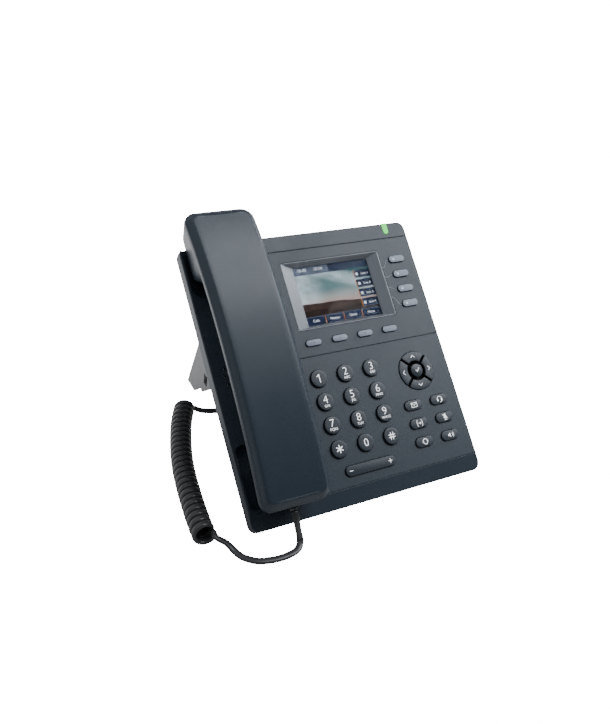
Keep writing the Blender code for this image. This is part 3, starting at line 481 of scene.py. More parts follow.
def show(name, shape, material, body, replaced=(), place=face_place, sharp=35):
    """Turn a shape into a finished piece: placed, shaded, given its material and set riding on a body."""
    mesh = shape
    if isinstance(shape, bmesh.types.BMesh):
        mesh = bpy.data.meshes.new(name)
        shape.to_mesh(mesh)
        shape.free()
    mesh.name = name
    mesh.transform(place)
    mesh.shade_smooth()
    mesh.set_sharp_from_angle(angle=math.radians(sharp))
    mesh.materials.clear()
    mesh.materials.append(material)
    piece = bpy.data.objects.new(name, mesh)
    bpy.context.scene.collection.objects.link(piece)
    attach(piece, body)
    if replaced:
        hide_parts(*replaced)
    return piece


def new_tree(name, inputs):
    """A Geometry Nodes tree with named inputs; gives the tree, its input node and the inputs' identifiers."""
    tree = bpy.data.node_groups.new(name, "GeometryNodeTree")
    tree.interface.new_socket("Geometry", in_out="INPUT", socket_type="NodeSocketGeometry")
    names = {}
    for title, kind, value in inputs:
        socket = tree.interface.new_socket(title, in_out="INPUT", socket_type=kind)
        if value is not None:
            socket.default_value = value
        names[title] = socket.identifier
    tree.interface.new_socket("Geometry", in_out="OUTPUT", socket_type="NodeSocketGeometry")
    return tree, tree.nodes.new("NodeGroupInput"), names


def finish_tree(tree, geometry, material):
    """End a tree in Realize Instances and Set Material."""
    realize = tree.nodes.new("GeometryNodeRealizeInstances")
    paint = tree.nodes.new("GeometryNodeSetMaterial")
    paint.inputs["Material"].default_value = material
    out = tree.nodes.new("NodeGroupOutput")
    wire(tree, (geometry, realize.inputs["Geometry"]),
         (realize.outputs["Geometry"], paint.inputs["Geometry"]),
         (paint.outputs["Geometry"], out.inputs["Geometry"]))


def grow(name, tree, names, values, seed_points=()):
    """Evaluate a tree over seed points and give the plain mesh."""
    mesh = bpy.data.meshes.new(name + "_seeds")
    mesh.from_pydata([tuple(point) for point in seed_points], [], [])
    guide = bpy.data.objects.new(name + "_guide", mesh)
    bpy.context.scene.collection.objects.link(guide)
    modifier = guide.modifiers.new(name, "NODES")
    modifier.node_group = tree
    for title, value in values.items():
        modifier[names[title]] = value
    bpy.context.view_layer.update()
    grown = bpy.data.meshes.new_from_object(guide.evaluated_get(bpy.context.evaluated_depsgraph_get()))
    guide.modifiers.remove(modifier)
    bpy.data.objects.remove(guide, do_unlink=True)
    return grown


def bar_tree(name, material):
    """Bars with softened ends at the seed points: slots and contacts."""
    tree, given, names = new_tree(name, [("Size", "NodeSocketVector", (0.01, 0.001, 0.001))])
    cube = tree.nodes.new("GeometryNodeMeshCube")
    for axis in ("X", "Y", "Z"):
        cube.inputs["Vertices " + axis].default_value = 3
    spread = tree.nodes.new("GeometryNodeInstanceOnPoints")
    position = tree.nodes.new("GeometryNodeInputPosition").outputs[0]
    half = tree.nodes.new("ShaderNodeVectorMath")
    half.operation = "SCALE"
    half.inputs["Scale"].default_value = 0.5
    ratio = tree.nodes.new("ShaderNodeVectorMath")
    ratio.operation = "DIVIDE"
    length = tree.nodes.new("ShaderNodeVectorMath")
    length.operation = "LENGTH"
    longest = sum_node(tree, "SUBTRACT", length.outputs["Value"], 1.0)
    beyond = sum_node(tree, "MAXIMUM", longest, 0.0)
    soften = sum_node(tree, "SUBTRACT", 1.0, sum_node(tree, "MULTIPLY", beyond, 0.28))
    shrink = tree.nodes.new("ShaderNodeVectorMath")
    shrink.operation = "SCALE"
    put = tree.nodes.new("GeometryNodeSetPosition")
    wire(tree, (given.outputs["Size"], cube.inputs["Size"]), (given.outputs["Size"], half.inputs[0]),
         (position, ratio.inputs[0]), (half.outputs[0], ratio.inputs[1]),
         (ratio.outputs[0], length.inputs[0]), (position, shrink.inputs[0]),
         (soften, shrink.inputs["Scale"]), (cube.outputs["Mesh"], put.inputs["Geometry"]),
         (shrink.outputs[0], put.inputs["Position"]), (given.outputs["Geometry"], spread.inputs["Points"]),
         (put.outputs["Geometry"], spread.inputs["Instance"]))
    finish_tree(tree, spread.outputs["Instances"], material)
    return tree, names


def screw_tree(name, material):
    """Pan-head screws with a cross recess at the seed points."""
    tree, given, names = new_tree(name, [("Radius", "NodeSocketFloat", 0.0025),
                                         ("Height", "NodeSocketFloat", 0.0015)])
    head = tree.nodes.new("GeometryNodeMeshCylinder")
    head.inputs["Vertices"].default_value = 24
    head.inputs["Side Segments"].default_value = 1
    dome = tree.nodes.new("GeometryNodeMeshCylinder")
    dome.inputs["Vertices"].default_value = 24
    offset = tree.nodes.new("ShaderNodeCombineXYZ")
    cut = tree.nodes.new("GeometryNodeMeshBoolean")
    cut.operation = "DIFFERENCE"
    solid = tree.nodes.new("GeometryNodeMeshBoolean")
    solid.operation = "UNION"
    radius = given.outputs["Radius"]
    height = given.outputs["Height"]
    wire(tree, (radius, head.inputs["Radius"]), (height, head.inputs["Depth"]),
         (sum_node(tree, "MULTIPLY", radius, 0.78), dome.inputs["Radius"]),
         (sum_node(tree, "MULTIPLY", height, 1.4), dome.inputs["Depth"]),
         (head.outputs["Mesh"], solid.inputs["Mesh 2"]), (dome.outputs["Mesh"], solid.inputs["Mesh 2"]),
         (sum_node(tree, "MULTIPLY", height, 0.55), offset.inputs["Z"]),
         (solid.outputs["Mesh"], cut.inputs["Mesh 1"]))
    wide = sum_node(tree, "MULTIPLY", radius, 1.15)
    narrow = sum_node(tree, "MULTIPLY", radius, 0.24)
    for first, second in ((wide, narrow), (narrow, wide)):
        blade = tree.nodes.new("GeometryNodeMeshCube")
        size = tree.nodes.new("ShaderNodeCombineXYZ")
        sunk = tree.nodes.new("GeometryNodeTransform")
        wire(tree, (first, size.inputs["X"]), (second, size.inputs["Y"]), (height, size.inputs["Z"]),
             (size.outputs[0], blade.inputs["Size"]), (blade.outputs["Mesh"], sunk.inputs["Geometry"]),
             (offset.outputs[0], sunk.inputs["Translation"]),
             (sunk.outputs["Geometry"], cut.inputs["Mesh 2"]))
    spread = tree.nodes.new("GeometryNodeInstanceOnPoints")
    wire(tree, (given.outputs["Geometry"], spread.inputs["Points"]),
         (cut.outputs["Mesh"], spread.inputs["Instance"]))
    finish_tree(tree, spread.outputs["Instances"], material)
    return tree, names


def ring_shape(rings, sides=32, closed=False):
    """A turned shape from (radius, height) pairs, bottom centre to top centre or round a closed ring."""
    shape = bmesh.new()
    loops = []
    for radius, height in rings:
        if radius == 0:
            loops.append([shape.verts.new((0, 0, height))])
            continue
        loops.append([shape.verts.new((radius * math.cos(2 * math.pi * i / sides),
                                       radius * math.sin(2 * math.pi * i / sides), height))
                      for i in range(sides)])
    for one, two in zip(loops, loops[1:] + loops[:1] if closed else loops[1:]):
        for i in range(sides):
            j = (i + 1) % sides
            corners = [one[i % len(one)], one[j % len(one)], two[j % len(two)], two[i % len(two)]]
            shape.faces.new(list(dict.fromkeys(corners)))
    return shape


def merged(shapes):
    """Several shapes as one; each entry is a shape and the matrix that places it."""
    whole = bmesh.new()
    for shape, place in shapes:
        bmesh.ops.transform(shape, matrix=place, verts=shape.verts)
        loose = bpy.data.meshes.new("loose")
        shape.to_mesh(loose)
        shape.free()
        whole.from_mesh(loose)
        bpy.data.meshes.remove(loose)
    bmesh.ops.recalc_face_normals(whole, faces=whole.faces)
    return whole


def at(u, v, h=0.0, turn=0.0, axis="Z"):
    """A place in the face's frame, with a turn."""
    return Matrix.Translation((u, v, h)) @ Matrix.Rotation(turn, 4, axis)


# Painted shade: a near-black for flat pieces that stand where slots and holes would be dark inside.
shadow_black = moulded("shadow_black", (0.004, 0.004, 0.005), 0.8, 1500, 0.00002, 0.1, 0, 0)
screw_zinc = moulded("screw_zinc", (0.42, 0.42, 0.44), 0.32, 5200, 0.000006, 0.12, 0.10, 0.3, 0.0002, 1.0)

cover_low, cover_high = face_box("rear_cover")
screw_inset = 0.0145            # screws' distance from the cover's sides
screw_heights = (0.066, 0.176)
screw_spots = [(u, v) for u in (cover_low.x + screw_inset, cover_high.x - screw_inset) for v in screw_heights]
boss_radius = 0.0042
boss_profile = [(boss_radius, tub_back + 0.0002), (boss_radius, tub_back - 0.0005),
                (boss_radius - 0.0005, tub_back - 0.0008), (0.0031, tub_back - 0.0008),
                (0.0031, tub_back + 0.0002)]
boss_rings = merged([(ring_shape(boss_profile, 40, True), at(u, v)) for u, v in screw_spots])
show("screw_bosses", boss_rings, cover_plastic, "body")
screws, screw_names = screw_tree("cover_screw", screw_zinc)
screw_mesh = grow("cover_screws", screws, screw_names, {"Radius": 0.0029, "Height": 0.0010},
                  [(u, v, -tub_back - 0.0003) for u, v in screw_spots])
look_back = Matrix.Diagonal((1, 1, -1, 1))
screw_mesh.transform(look_back)
screw_mesh.flip_normals()
show("cover_screws", screw_mesh, screw_zinc, "body")

vents, vent_names = bar_tree("vent_slot", shadow_black)
vent_pitch = 0.0052
vent_height = 0.1620
vent_count = 12
vent_points = [(body_width / 2 + (step - (vent_count - 1) / 2) * vent_pitch, vent_height, tub_back)
               for step in range(vent_count)]
show("vent_slots", grow("vent_slots", vents, vent_names, {"Size": (0.0022, 0.0130, 0.0003)}, vent_points),
     shadow_black, "body")

# ---- sockets in the pocket ------------------------------------------------------------------------------
# Two network sockets are tin-plated shells with eight sprung gold contacts each; beside them is a barrel
# jack in black nylon with a tin-plated centre pin. All three are soldered to the board.
socket_tin = moulded("socket_tin", (0.50, 0.49, 0.47), 0.30, 4200, 0.000008, 0.10, 0.10, 0.3, 0.0002, 1.0)
contact_gold = moulded("contact_gold", (0.80, 0.58, 0.24), 0.22, 6000, 0.000002, 0.05, 0.05, 0, metallic=1.0)
jack_nylon = moulded("jack_nylon", (0.014, 0.014, 0.015), 0.55, 2600, 0.00001, 0.05, 0.05, 0.3)
finish_node(socket_tin, "lan_socket", "pc_socket")
finish_node(jack_nylon, "power_socket", "cord_socket", "handset_socket")
contacts, contact_names = bar_tree("socket_contact", contact_gold)
contact_pitch = 0.00102
contact_points = []
for name in ("lan_socket", "pc_socket"):
    low, high = face_box(name)
    for step in range(8):
        contact_points.append(((low.x + high.x) / 2 + (step - 3.5) * contact_pitch, low.y + 0.0070,
                               (low.z + high.z) / 2 + 0.0018))
show("socket_contacts", grow("socket_contacts", contacts, contact_names, {"Size": (0.00035, 0.0090, 0.0004)},
                             contact_points), contact_gold, "body")
low, high = face_box("power_socket")
pin_rings = [(0, 0), (0.0009, 0.0), (0.00105, 0.0003), (0.00105, 0.0078), (0.0008, 0.0084), (0, 0.0085)]
pin_middle = ((low.x + high.x) / 2, low.y + 0.0098, (low.z + high.z) / 2 - 0.0010)
pin_place = Matrix.Translation(pin_middle) @ Matrix.Rotation(math.pi / 2, 4, "X")
show("jack_pin", merged([(ring_shape(pin_rings, 20), pin_place)]), socket_tin, "body")

# ---- feet -----------------------------------------------------------------------------------------------
# Black rubber strips glued under the body's front edge and the stand's foot.
# Their matt, slightly coarse skin keeps the phone from sliding.
foot_rubber = moulded("foot_rubber", (0.016, 0.016, 0.016), 0.82, 1500, 0.00006, 0.10, 0.04, 0)
finish_node(foot_rubber, "front_foot_strip", "stand_foot_pad")

# ---- stand ----------------------------------------------------------------------------------------------
# A one-piece bracket in light grey ABS: two side plates, a rear web and a foot. Four hooks clip into
# slots in the cover. Five upright ribs on the web keep it stiff.
stand_plastic = moulded("stand_plastic", (0.235, 0.240, 0.248), 0.50, 2200, 0.00003, 0.04, 0.05, 0.22, 0.0005)
finish_node(stand_plastic, "stand")
stand_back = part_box("stand")[1][1]
rib_size = (0.0016, 0.0060, 0.0500)
rib_count = 5
rib_pitch = 0.0205
rib_inset = 0.0078              # the ribs' middles, in front of the foot's rear edge
rib_middle = 0.0285
rib_lean = math.radians(-2.0)
rib_shapes = []
for step in range(rib_count):
    rib = bmesh.new()
    bmesh.ops.create_cube(rib, size=1.0)
    bmesh.ops.scale(rib, vec=rib_size, verts=rib.verts)
    bmesh.ops.bevel(rib, geom=rib.edges, offset=0.0004, segments=2, affect="EDGES")
    x = (step - (rib_count - 1) / 2) * rib_pitch
    rib_shapes.append((rib, Matrix.Translation((x, stand_back - rib_inset, rib_middle))
                       @ Matrix.Rotation(rib_lean, 4, "X")))
show("stand_ribs", merged(rib_shapes), stand_plastic, "stand", place=Matrix.Identity(4))

# ---- works inside the body ------------------------------------------------------------------------------
# A green circuit board, the silicone mat that springs the keys back, the loudspeaker behind its grille
# and a small microphone behind the lip. The handset's receiver and microphone are of the same steel.
board_green = moulded("board_green", (0.012, 0.085, 0.040), 0.38, 900, 0.00002, 0.20, 0.05, 0.2, 0.0003)
mat_silicone = moulded("mat_silicone", (0.012, 0.013, 0.015), 0.65, 1500, 0.00002, 0.08, 0.04, 0)
capsule_steel = moulded("capsule_steel", (0.45, 0.45, 0.46), 0.35, 5200, 0.000006, 0.10, 0.10, 0.2, 0.0002,
                        1.0)
finish_node(board_green, "main_board")
finish_node(mat_silicone, "keypad_mat")
finish_node(capsule_steel, "loudspeaker", "base_microphone", "receiver_capsule", "handset_microphone")

# ---- screen ---------------------------------------------------------------------------------------------
# A silver-grey bezel slopes down to a clear window; behind it a small colour panel glows.
# The panel shows an evening sky over low hills and a status bar. A row of labels below and a column on its
# right name the keys beside them.
bezel_plastic = moulded("bezel_plastic", (0.200, 0.215, 0.240), 0.26, 2800, 0.000010, 0.03, 0.05, 0.04,
                        0.0004, metallic=0.25)
finish_node(bezel_plastic, "screen_bezel")
panel_black = moulded("panel_black", (0.006, 0.007, 0.009), 0.30, 1500, 0.000004, 0.05, 0.05, 0)
finish_node(panel_black, "lcd_panel")

window_index = 1.10             # well below real acrylic's, so that the soft boxes don't veil the picture
window_glass = bpy.data.materials.new("window_glass")
window_glass.use_nodes = True
glass_tree = window_glass.node_tree
glass_shader = glass_tree.nodes["Principled BSDF"]
glass_shader.inputs["Base Color"].default_value = (0.96, 0.98, 1.0, 1)
glass_shader.inputs["Transmission Weight"].default_value = 1.0
glass_shader.inputs["IOR"].default_value = window_index
glass_place = glass_tree.nodes.new("ShaderNodeTexCoord").outputs["Object"]
wire(glass_tree, (sum_node(glass_tree, "MULTIPLY", noise_node(glass_tree, glass_place, 60.0), 0.012),
                  glass_shader.inputs["Roughness"]))
finish_node(window_glass, "screen_lens")

picture_low = (0.0774, 0.1229)
picture_size = (0.0604, 0.0434)
picture_height = -0.00536
sheet_step = 0.00003            # how far each layer of the picture stands over the one below
sheet_share = 0.6               # a layer's own thickness, as a part of that step
sky_glow = 0.45
glow_share = 0.6                # part of its full strength that every lit area is run at


def prism(outline, low, high):
    """A flat outline given a thickness."""
    shape = bmesh.new()
    face = shape.faces.new([shape.verts.new((x, y, low)) for x, y in outline])
    grown_up = bmesh.ops.extrude_face_region(shape, geom=[face])["geom"]
    bmesh.ops.translate(shape, vec=(0, 0, high - low),
                        verts=[part for part in grown_up if isinstance(part, bmesh.types.BMVert)])
    bmesh.ops.recalc_face_normals(shape, faces=shape.faces)
    return shape


def rectangle(x, y, width, height):
    """Corners of a rectangle from its lower left one."""
    return [(x, y), (x + width, y), (x + width, y + height), (x, y + height)]


def glowing(name, colour, strength, variation=0.15):
    """A lit area of the panel, a little uneven as its back light is."""
    material = bpy.data.materials.new(name)
    material.use_nodes = True
    tree = material.node_tree
    shader = tree.nodes["Principled BSDF"]
    shader.inputs["Roughness"].default_value = 0.5
    shader.inputs["Specular IOR Level"].default_value = 0.0
    shader.inputs["Emission Strength"].default_value = strength * glow_share
    place = tree.nodes.new("ShaderNodeTexCoord").outputs["Object"]
    mix = tree.nodes.new("ShaderNodeMix")
    mix.data_type = "RGBA"
    mix.inputs["A"].default_value = (*[c * (1 - variation) for c in colour], 1)
    mix.inputs["B"].default_value = (*[min(1.0, c * (1 + variation)) for c in colour], 1)
    wire(tree, (noise_node(tree, place, 140.0, 1.0), mix.inputs["Factor"]),
         (mix.outputs["Result"], shader.inputs["Base Color"]),
         (mix.outputs["Result"], shader.inputs["Emission Color"]))
    return material


def picture_material():
    """The sky: teal dusk that pales to the horizon, a drifting band of cloud and small stars."""
    material = bpy.data.materials.new("picture_sky")
    material.use_nodes = True
    tree = material.node_tree
    shader = tree.nodes["Principled BSDF"]
    shader.inputs["Roughness"].default_value = 0.5
    shader.inputs["Specular IOR Level"].default_value = 0.0
    shader.inputs["Emission Strength"].default_value = sky_glow
    spot = tree.nodes.new("ShaderNodeUVMap")
    spot.uv_map = "picture"
    parts = tree.nodes.new("ShaderNodeSeparateXYZ")
    ramp = tree.nodes.new("ShaderNodeValToRGB")
    stops = ((0.0, (0.30, 0.19, 0.16)), (0.32, (0.44, 0.31, 0.27)), (0.42, (0.36, 0.35, 0.33)),
             (0.56, (0.11, 0.19, 0.20)), (0.80, (0.045, 0.115, 0.120)), (1.0, (0.03, 0.08, 0.09)))
    while len(ramp.color_ramp.elements) < len(stops):
        ramp.color_ramp.elements.new(0.5)
    for element, (where, colour) in zip(ramp.color_ramp.elements, stops):
        element.position = where
        element.color = (*colour, 1)
    band = sum_node(tree, "ADD", sum_node(tree, "MULTIPLY", parts.outputs["X"], 0.55), parts.outputs["Y"])
    off_band = sum_node(tree, "ABSOLUTE", sum_node(tree, "SUBTRACT", band, 1.06), 0.0)
    soft = sum_node(tree, "SUBTRACT", 1.0, sum_node(tree, "MULTIPLY", off_band, 6.5), True)
    left = sum_node(tree, "SUBTRACT", 1.15, sum_node(tree, "MULTIPLY", parts.outputs["X"], 3.2), True)
    cloud = sum_node(tree, "MULTIPLY", sum_node(tree, "ADD", left, soft),
                     noise_node(tree, spot.outputs["UV"], 7.0, 6.0), True)
    pale = tree.nodes.new("ShaderNodeMix")
    pale.data_type = "RGBA"
    pale.inputs["B"].default_value = (0.84, 0.96, 1.0, 1)
    cells = tree.nodes.new("ShaderNodeTexVoronoi")
    cells.inputs["Scale"].default_value = 46.0
    star = sum_node(tree, "LESS_THAN", cells.outputs["Distance"], 0.085)
    high = sum_node(tree, "GREATER_THAN", parts.outputs["Y"], 0.5)
    lit = tree.nodes.new("ShaderNodeMix")
    lit.data_type = "RGBA"
    lit.inputs["B"].default_value = (0.9, 0.95, 0.9, 1)
    wire(tree, (spot.outputs["UV"], parts.inputs[0]), (parts.outputs["Y"], ramp.inputs["Fac"]),
         (spot.outputs["UV"], cells.inputs["Vector"]), (cloud, pale.inputs["Factor"]),
         (ramp.outputs["Color"], pale.inputs["A"]), (pale.outputs["Result"], lit.inputs["A"]),
         (sum_node(tree, "MULTIPLY", star, sum_node(tree, "MULTIPLY", high, 0.7)), lit.inputs["Factor"]),
         (lit.outputs["Result"], shader.inputs["Base Color"]),
         (lit.outputs["Result"], shader.inputs["Emission Color"]))
    return material


def on_panel(name, outlines, layer, material):
    """Flat shapes on one layer of the panel's picture, in parts of its width and height."""
    shapes = []
    for outline in outlines:
        corners = [(picture_low[0] + x * picture_size[0], picture_low[1] + y * picture_size[1])
                   for x, y in outline]
        low = picture_height + layer * sheet_step
        shapes.append((prism(corners, low, low + sheet_step * sheet_share), Matrix.Identity(4)))
    piece = merged(shapes)
    spot = piece.loops.layers.uv.new("picture")
    for face in piece.faces:
        for loop in face.loops:
            loop[spot].uv = ((loop.vert.co.x - picture_low[0]) / picture_size[0],
                             (loop.vert.co.y - picture_low[1]) / picture_size[1])
    return show(name, piece, material, "body")


on_panel("picture_sky", [rectangle(0, 0, 1, 1)], 0, picture_material())


def hills(base, swing, lean, phase):
    """A ridge line across the picture, closed below."""
    ridge = []
    for step in range(41):
        x = step / 40
        height = base + lean * x + swing * (math.sin(4.3 * x + phase) + 0.35 * math.sin(13.7 * x + phase * 2)
                                            + 0.12 * math.sin(37 * x + phase))
        ridge.append((x, height))
    return [(0, 0)] + [(1, 0)] + list(reversed(ridge))


hill_rose = glowing("hill_rose", (0.050, 0.031, 0.027), 1.0)
on_panel("picture_far_hills", [hills(0.335, 0.020, -0.01, 0.6)], 1, hill_rose)
hill_brown = glowing("hill_brown", (0.026, 0.018, 0.016), 1.0)
on_panel("picture_near_hills", [hills(0.235, 0.030, 0.03, 2.4)], 2, hill_brown)

label_navy = glowing("label_navy", (0.018, 0.026, 0.052), 1.0, 0.35)
label_blue = glowing("label_blue", (0.080, 0.098, 0.140), 1.0, 0.2)
label_white = glowing("label_white", (0.80, 0.83, 0.88), 1.3, 0.05)
label_amber = glowing("label_amber", (0.80, 0.32, 0.08), 1.1, 0.1)
bar_bottom = 0.840
column_left = 0.772
column_first = 0.672            # the highest column label's lower edge
column_pitch = 0.166
column_height = 0.135
row_top = 0.140
row_pitch = 0.243
edge_height = 0.012
divider = 0.004
column_steps = [column_pitch * i for i in range(4)]
on_panel("picture_bars", [rectangle(0, bar_bottom, 1, 1 - bar_bottom), rectangle(0, 0, 1, row_top)]
         + [rectangle(column_left, column_first - down, 1 - column_left, column_height)
            for down in column_steps], 3, label_navy)
column_edges = [rectangle(column_left, column_first - down, 1 - column_left, edge_height)
                for down in column_steps]
row_edges = [rectangle(row_pitch * i + divider, row_top - edge_height, 0.236, edge_height) for i in range(4)]
on_panel("picture_bar_edges", [rectangle(0, bar_bottom, 0.46, 1 - bar_bottom)] + column_edges + row_edges, 4,
         label_blue)
on_panel("picture_separators", [rectangle(row_pitch * i, 0.01, divider, row_top - 0.02) for i in (1, 2, 3)]
         + [rectangle(column_left - divider, column_first - down, divider, column_height)
            for down in column_steps], 5, label_amber)
on_panel("picture_icons", [rectangle(column_left + 0.022, 0.712 - down, 0.030, 0.045)
                           for down in column_steps], 6, label_white)


def lettering(text, size, thickness, bold=0.0):
    """Plain numerals or letters as a closed mesh, centred on the origin."""
    curve = bpy.data.curves.new("lettering", "FONT")
    curve.body = text
    curve.size = size
    curve.align_x = "CENTER"
    curve.align_y = "CENTER"
    curve.extrude = thickness / 2
    curve.offset = bold
    curve.resolution_u = 4
    guide = bpy.data.objects.new("lettering", curve)
    bpy.context.scene.collection.objects.link(guide)
    bpy.context.view_layer.update()
    mesh = bpy.data.meshes.new_from_object(guide.evaluated_get(bpy.context.evaluated_depsgraph_get()))
    bpy.data.objects.remove(guide, do_unlink=True)
    shape = bmesh.new()
    shape.from_mesh(mesh)
    bmesh.ops.remove_doubles(shape, verts=shape.verts, dist=1e-6)
    middle = [(min(v.co[i] for v in shape.verts) + max(v.co[i] for v in shape.verts)) / 2 for i in (0, 1)]
    bmesh.ops.translate(shape, vec=(-middle[0], -middle[1], 0), verts=shape.verts)
    bmesh.ops.recalc_face_normals(shape, faces=shape.faces)
    return shape


word_height = picture_height + sheet_step * 6.4
row_words = ("Calls", "Names", "Quiet", "Menu")
column_words = ("Line 1", "Line 2", "Line 3", "Line 4")
words = [(word, row_pitch * i + 0.122, 0.070, 0.0027) for i, word in enumerate(row_words)]
words += [(word, column_left + 0.140, 0.735 - down, 0.0024) for down, word in zip(column_steps, column_words)]
words += [("18-03", 0.12, 0.92, 0.0032), ("10:24", 0.33, 0.92, 0.0032)]
show("picture_words", merged([
    (lettering(word, size, sheet_step * sheet_share),
     at(picture_low[0] + picture_size[0] * x, picture_low[1] + picture_size[1] * y, word_height))
    for word, x, y, size in words]), label_white, "body")

# ---- keys -----------------------------------------------------------------------------------------------
# Hard keycaps with rounded rims on the silicone mat. The number, arrow and function keys are dark grey and
# printed in white with a painted glow, so that it gives off a little light. The keys by the screen are pale
# grey, with a spot or lamp.
def shade_key_sides(material, colour):
    """Keep a material's colour on what faces outwards and paint shade on the sides: near-black and without
    gloss.
    """
    tree = material.node_tree
    shader = tree.nodes["Principled BSDF"]
    facing = tree.nodes.new("ShaderNodeVectorMath")
    facing.operation = "DOT_PRODUCT"
    facing.inputs[1].default_value = face_place.to_3x3().col[2]
    step = tree.nodes.new("ShaderNodeMapRange")
    step.interpolation_type = "SMOOTHSTEP"
    step.inputs["From Min"].default_value = 0.30
    step.inputs["From Max"].default_value = 0.70
    mix = tree.nodes.new("ShaderNodeMix")
    mix.data_type = "RGBA"
    mix.inputs["A"].default_value = (*colour, 1)
    wire(tree, (tree.nodes.new("ShaderNodeTexCoord").outputs["Normal"], facing.inputs[0]),
         (facing.outputs["Value"], step.inputs["Value"]), (step.outputs["Result"], mix.inputs["Factor"]),
         (shader.inputs["Base Color"].links[0].from_socket, mix.inputs["B"]))
    rough = sum_node(tree, "SUBTRACT", 1.0, sum_node(tree, "MULTIPLY", step.outputs["Result"], sum_node(
        tree, "SUBTRACT", 1.0, shader.inputs["Roughness"].links[0].from_socket)))
    wire(tree, (mix.outputs["Result"], shader.inputs["Base Color"]), (rough, shader.inputs["Roughness"]))


dark_cap = moulded("dark_cap", (0.029, 0.039, 0.052), 0.40, 3000, 0.000010, 0.04, 0.05, 0.12, 0.0003)
pale_cap = moulded("pale_cap", (0.270, 0.310, 0.385), 0.38, 3000, 0.000010, 0.03, 0.05, 0.20, 0.0003)
# Painted shade: the caps' sides are darkened to these near-black colours.
shade_key_sides(dark_cap, (0.003, 0.004, 0.005))
shade_key_sides(pale_cap, (0.020, 0.024, 0.032))
white_ink_painted_glow = moulded("white_ink_painted_glow", (0.86, 0.87, 0.88), 0.55, 4200, 0.000006, 0.04, 0.05, 0)
# Painted glow: the print gives off a little light so that it reads white; it is not a lamp.
ink_shader = white_ink_painted_glow.node_tree.nodes["Principled BSDF"]
ink_shader.inputs["Emission Color"].default_value = (1, 1, 1, 1)
ink_shader.inputs["Emission Strength"].default_value = 1.2
key_root = -0.0036
ink_depth = 0.00012
ink_proud = 0.00003
stroke_share = 0.66             # the printed lines come out finer than they are drawn
rim_soft = 0.00034              # how far a keycap's rim is rounded


def arc(radius, start, stop, steps, centre=(0.0, 0.0)):
    """Points along an arc, angles in degrees, both ends included."""
    return [(centre[0] + radius * math.cos(math.radians(start + (stop - start) * i / steps)),
             centre[1] + radius * math.sin(math.radians(start + (stop - start) * i / steps)))
            for i in range(steps + 1)]


def bar_outline(width, height, inset):
    """A bar with round ends, made smaller by an inset."""
    radius = height / 2 - inset
    reach = width / 2 - height / 2
    return arc(radius, -90, 90, 16, (reach, 0)) + arc(radius, 90, 270, 16, (-reach, 0))


def cap_shape(outline, rings, crown=None):
    """A keycap: rings of (inset, height) from root to top, closed flat below and flat or crowned above."""
    shape = bmesh.new()
    loops = [[shape.verts.new((x, y, height)) for x, y in outline(inset)] for inset, height in rings]
    sides = len(loops[0])
    for one, two in zip(loops, loops[1:]):
        for i in range(sides):
            j = (i + 1) % sides
            shape.faces.new((one[i], one[j], two[j], two[i]))
    shape.faces.new(list(reversed(loops[0])))
    if crown is None:
        shape.faces.new(loops[-1])
    else:
        top = shape.verts.new((0, 0, crown))
        for i in range(sides):
            shape.faces.new((loops[-1][i], loops[-1][(i + 1) % sides], top))
    bmesh.ops.recalc_face_normals(shape, faces=shape.faces)
    return shape


def rounded_rim(proud, soft):
    """Rings of a keycap's side and rounded rim."""
    rings = [(0, key_root), (0, proud - soft)]
    for degrees in (22.5, 45, 67.5, 90):
        angle = math.radians(degrees)
        rings.append((soft * (1 - math.cos(angle)), proud - soft * (1 - math.sin(angle))))
    return rings


def segment_shapes(points, width, low, high):
    """A printed line: a bar for each stretch and a round spot at each bend."""
    shapes = []
    for (ax, ay), (bx, by) in zip(points, points[1:]):
        run = Vector((bx - ax, by - ay))
        side = Vector((-run.y, run.x)).normalized() * width / 2
        corners = [(ax - side.x, ay - side.y), (bx - side.x, by - side.y),
                   (bx + side.x, by + side.y), (ax + side.x, ay + side.y)]
        shapes.append((prism(corners, low, high), Matrix.Identity(4)))
    for x, y in points:
        shapes.append((prism([(x + a, y + b) for a, b in arc(width / 2, 0, 324, 9)], low, high - 0.000002),
                       Matrix.Identity(4)))
    return shapes


def mark_shape(lines=(), areas=(), width=0.0005):
    """A symbol of lines and filled areas, in metres about its own centre."""
    shapes = []
    for points in lines:
        shapes += segment_shapes(points, width * stroke_share, -ink_depth, 0)
    for outline in areas:
        shapes.append((prism(outline, -ink_depth, 0), Matrix.Identity(4)))
    return merged(shapes)


def key_frame(name):
    """A CAD key's middle on the face, its top's height and its size across and up the face."""
    low, high = face_box(name)
    return (low.x + high.x) / 2, (low.y + high.y) / 2, high.z, high.x - low.x, high.y - low.y


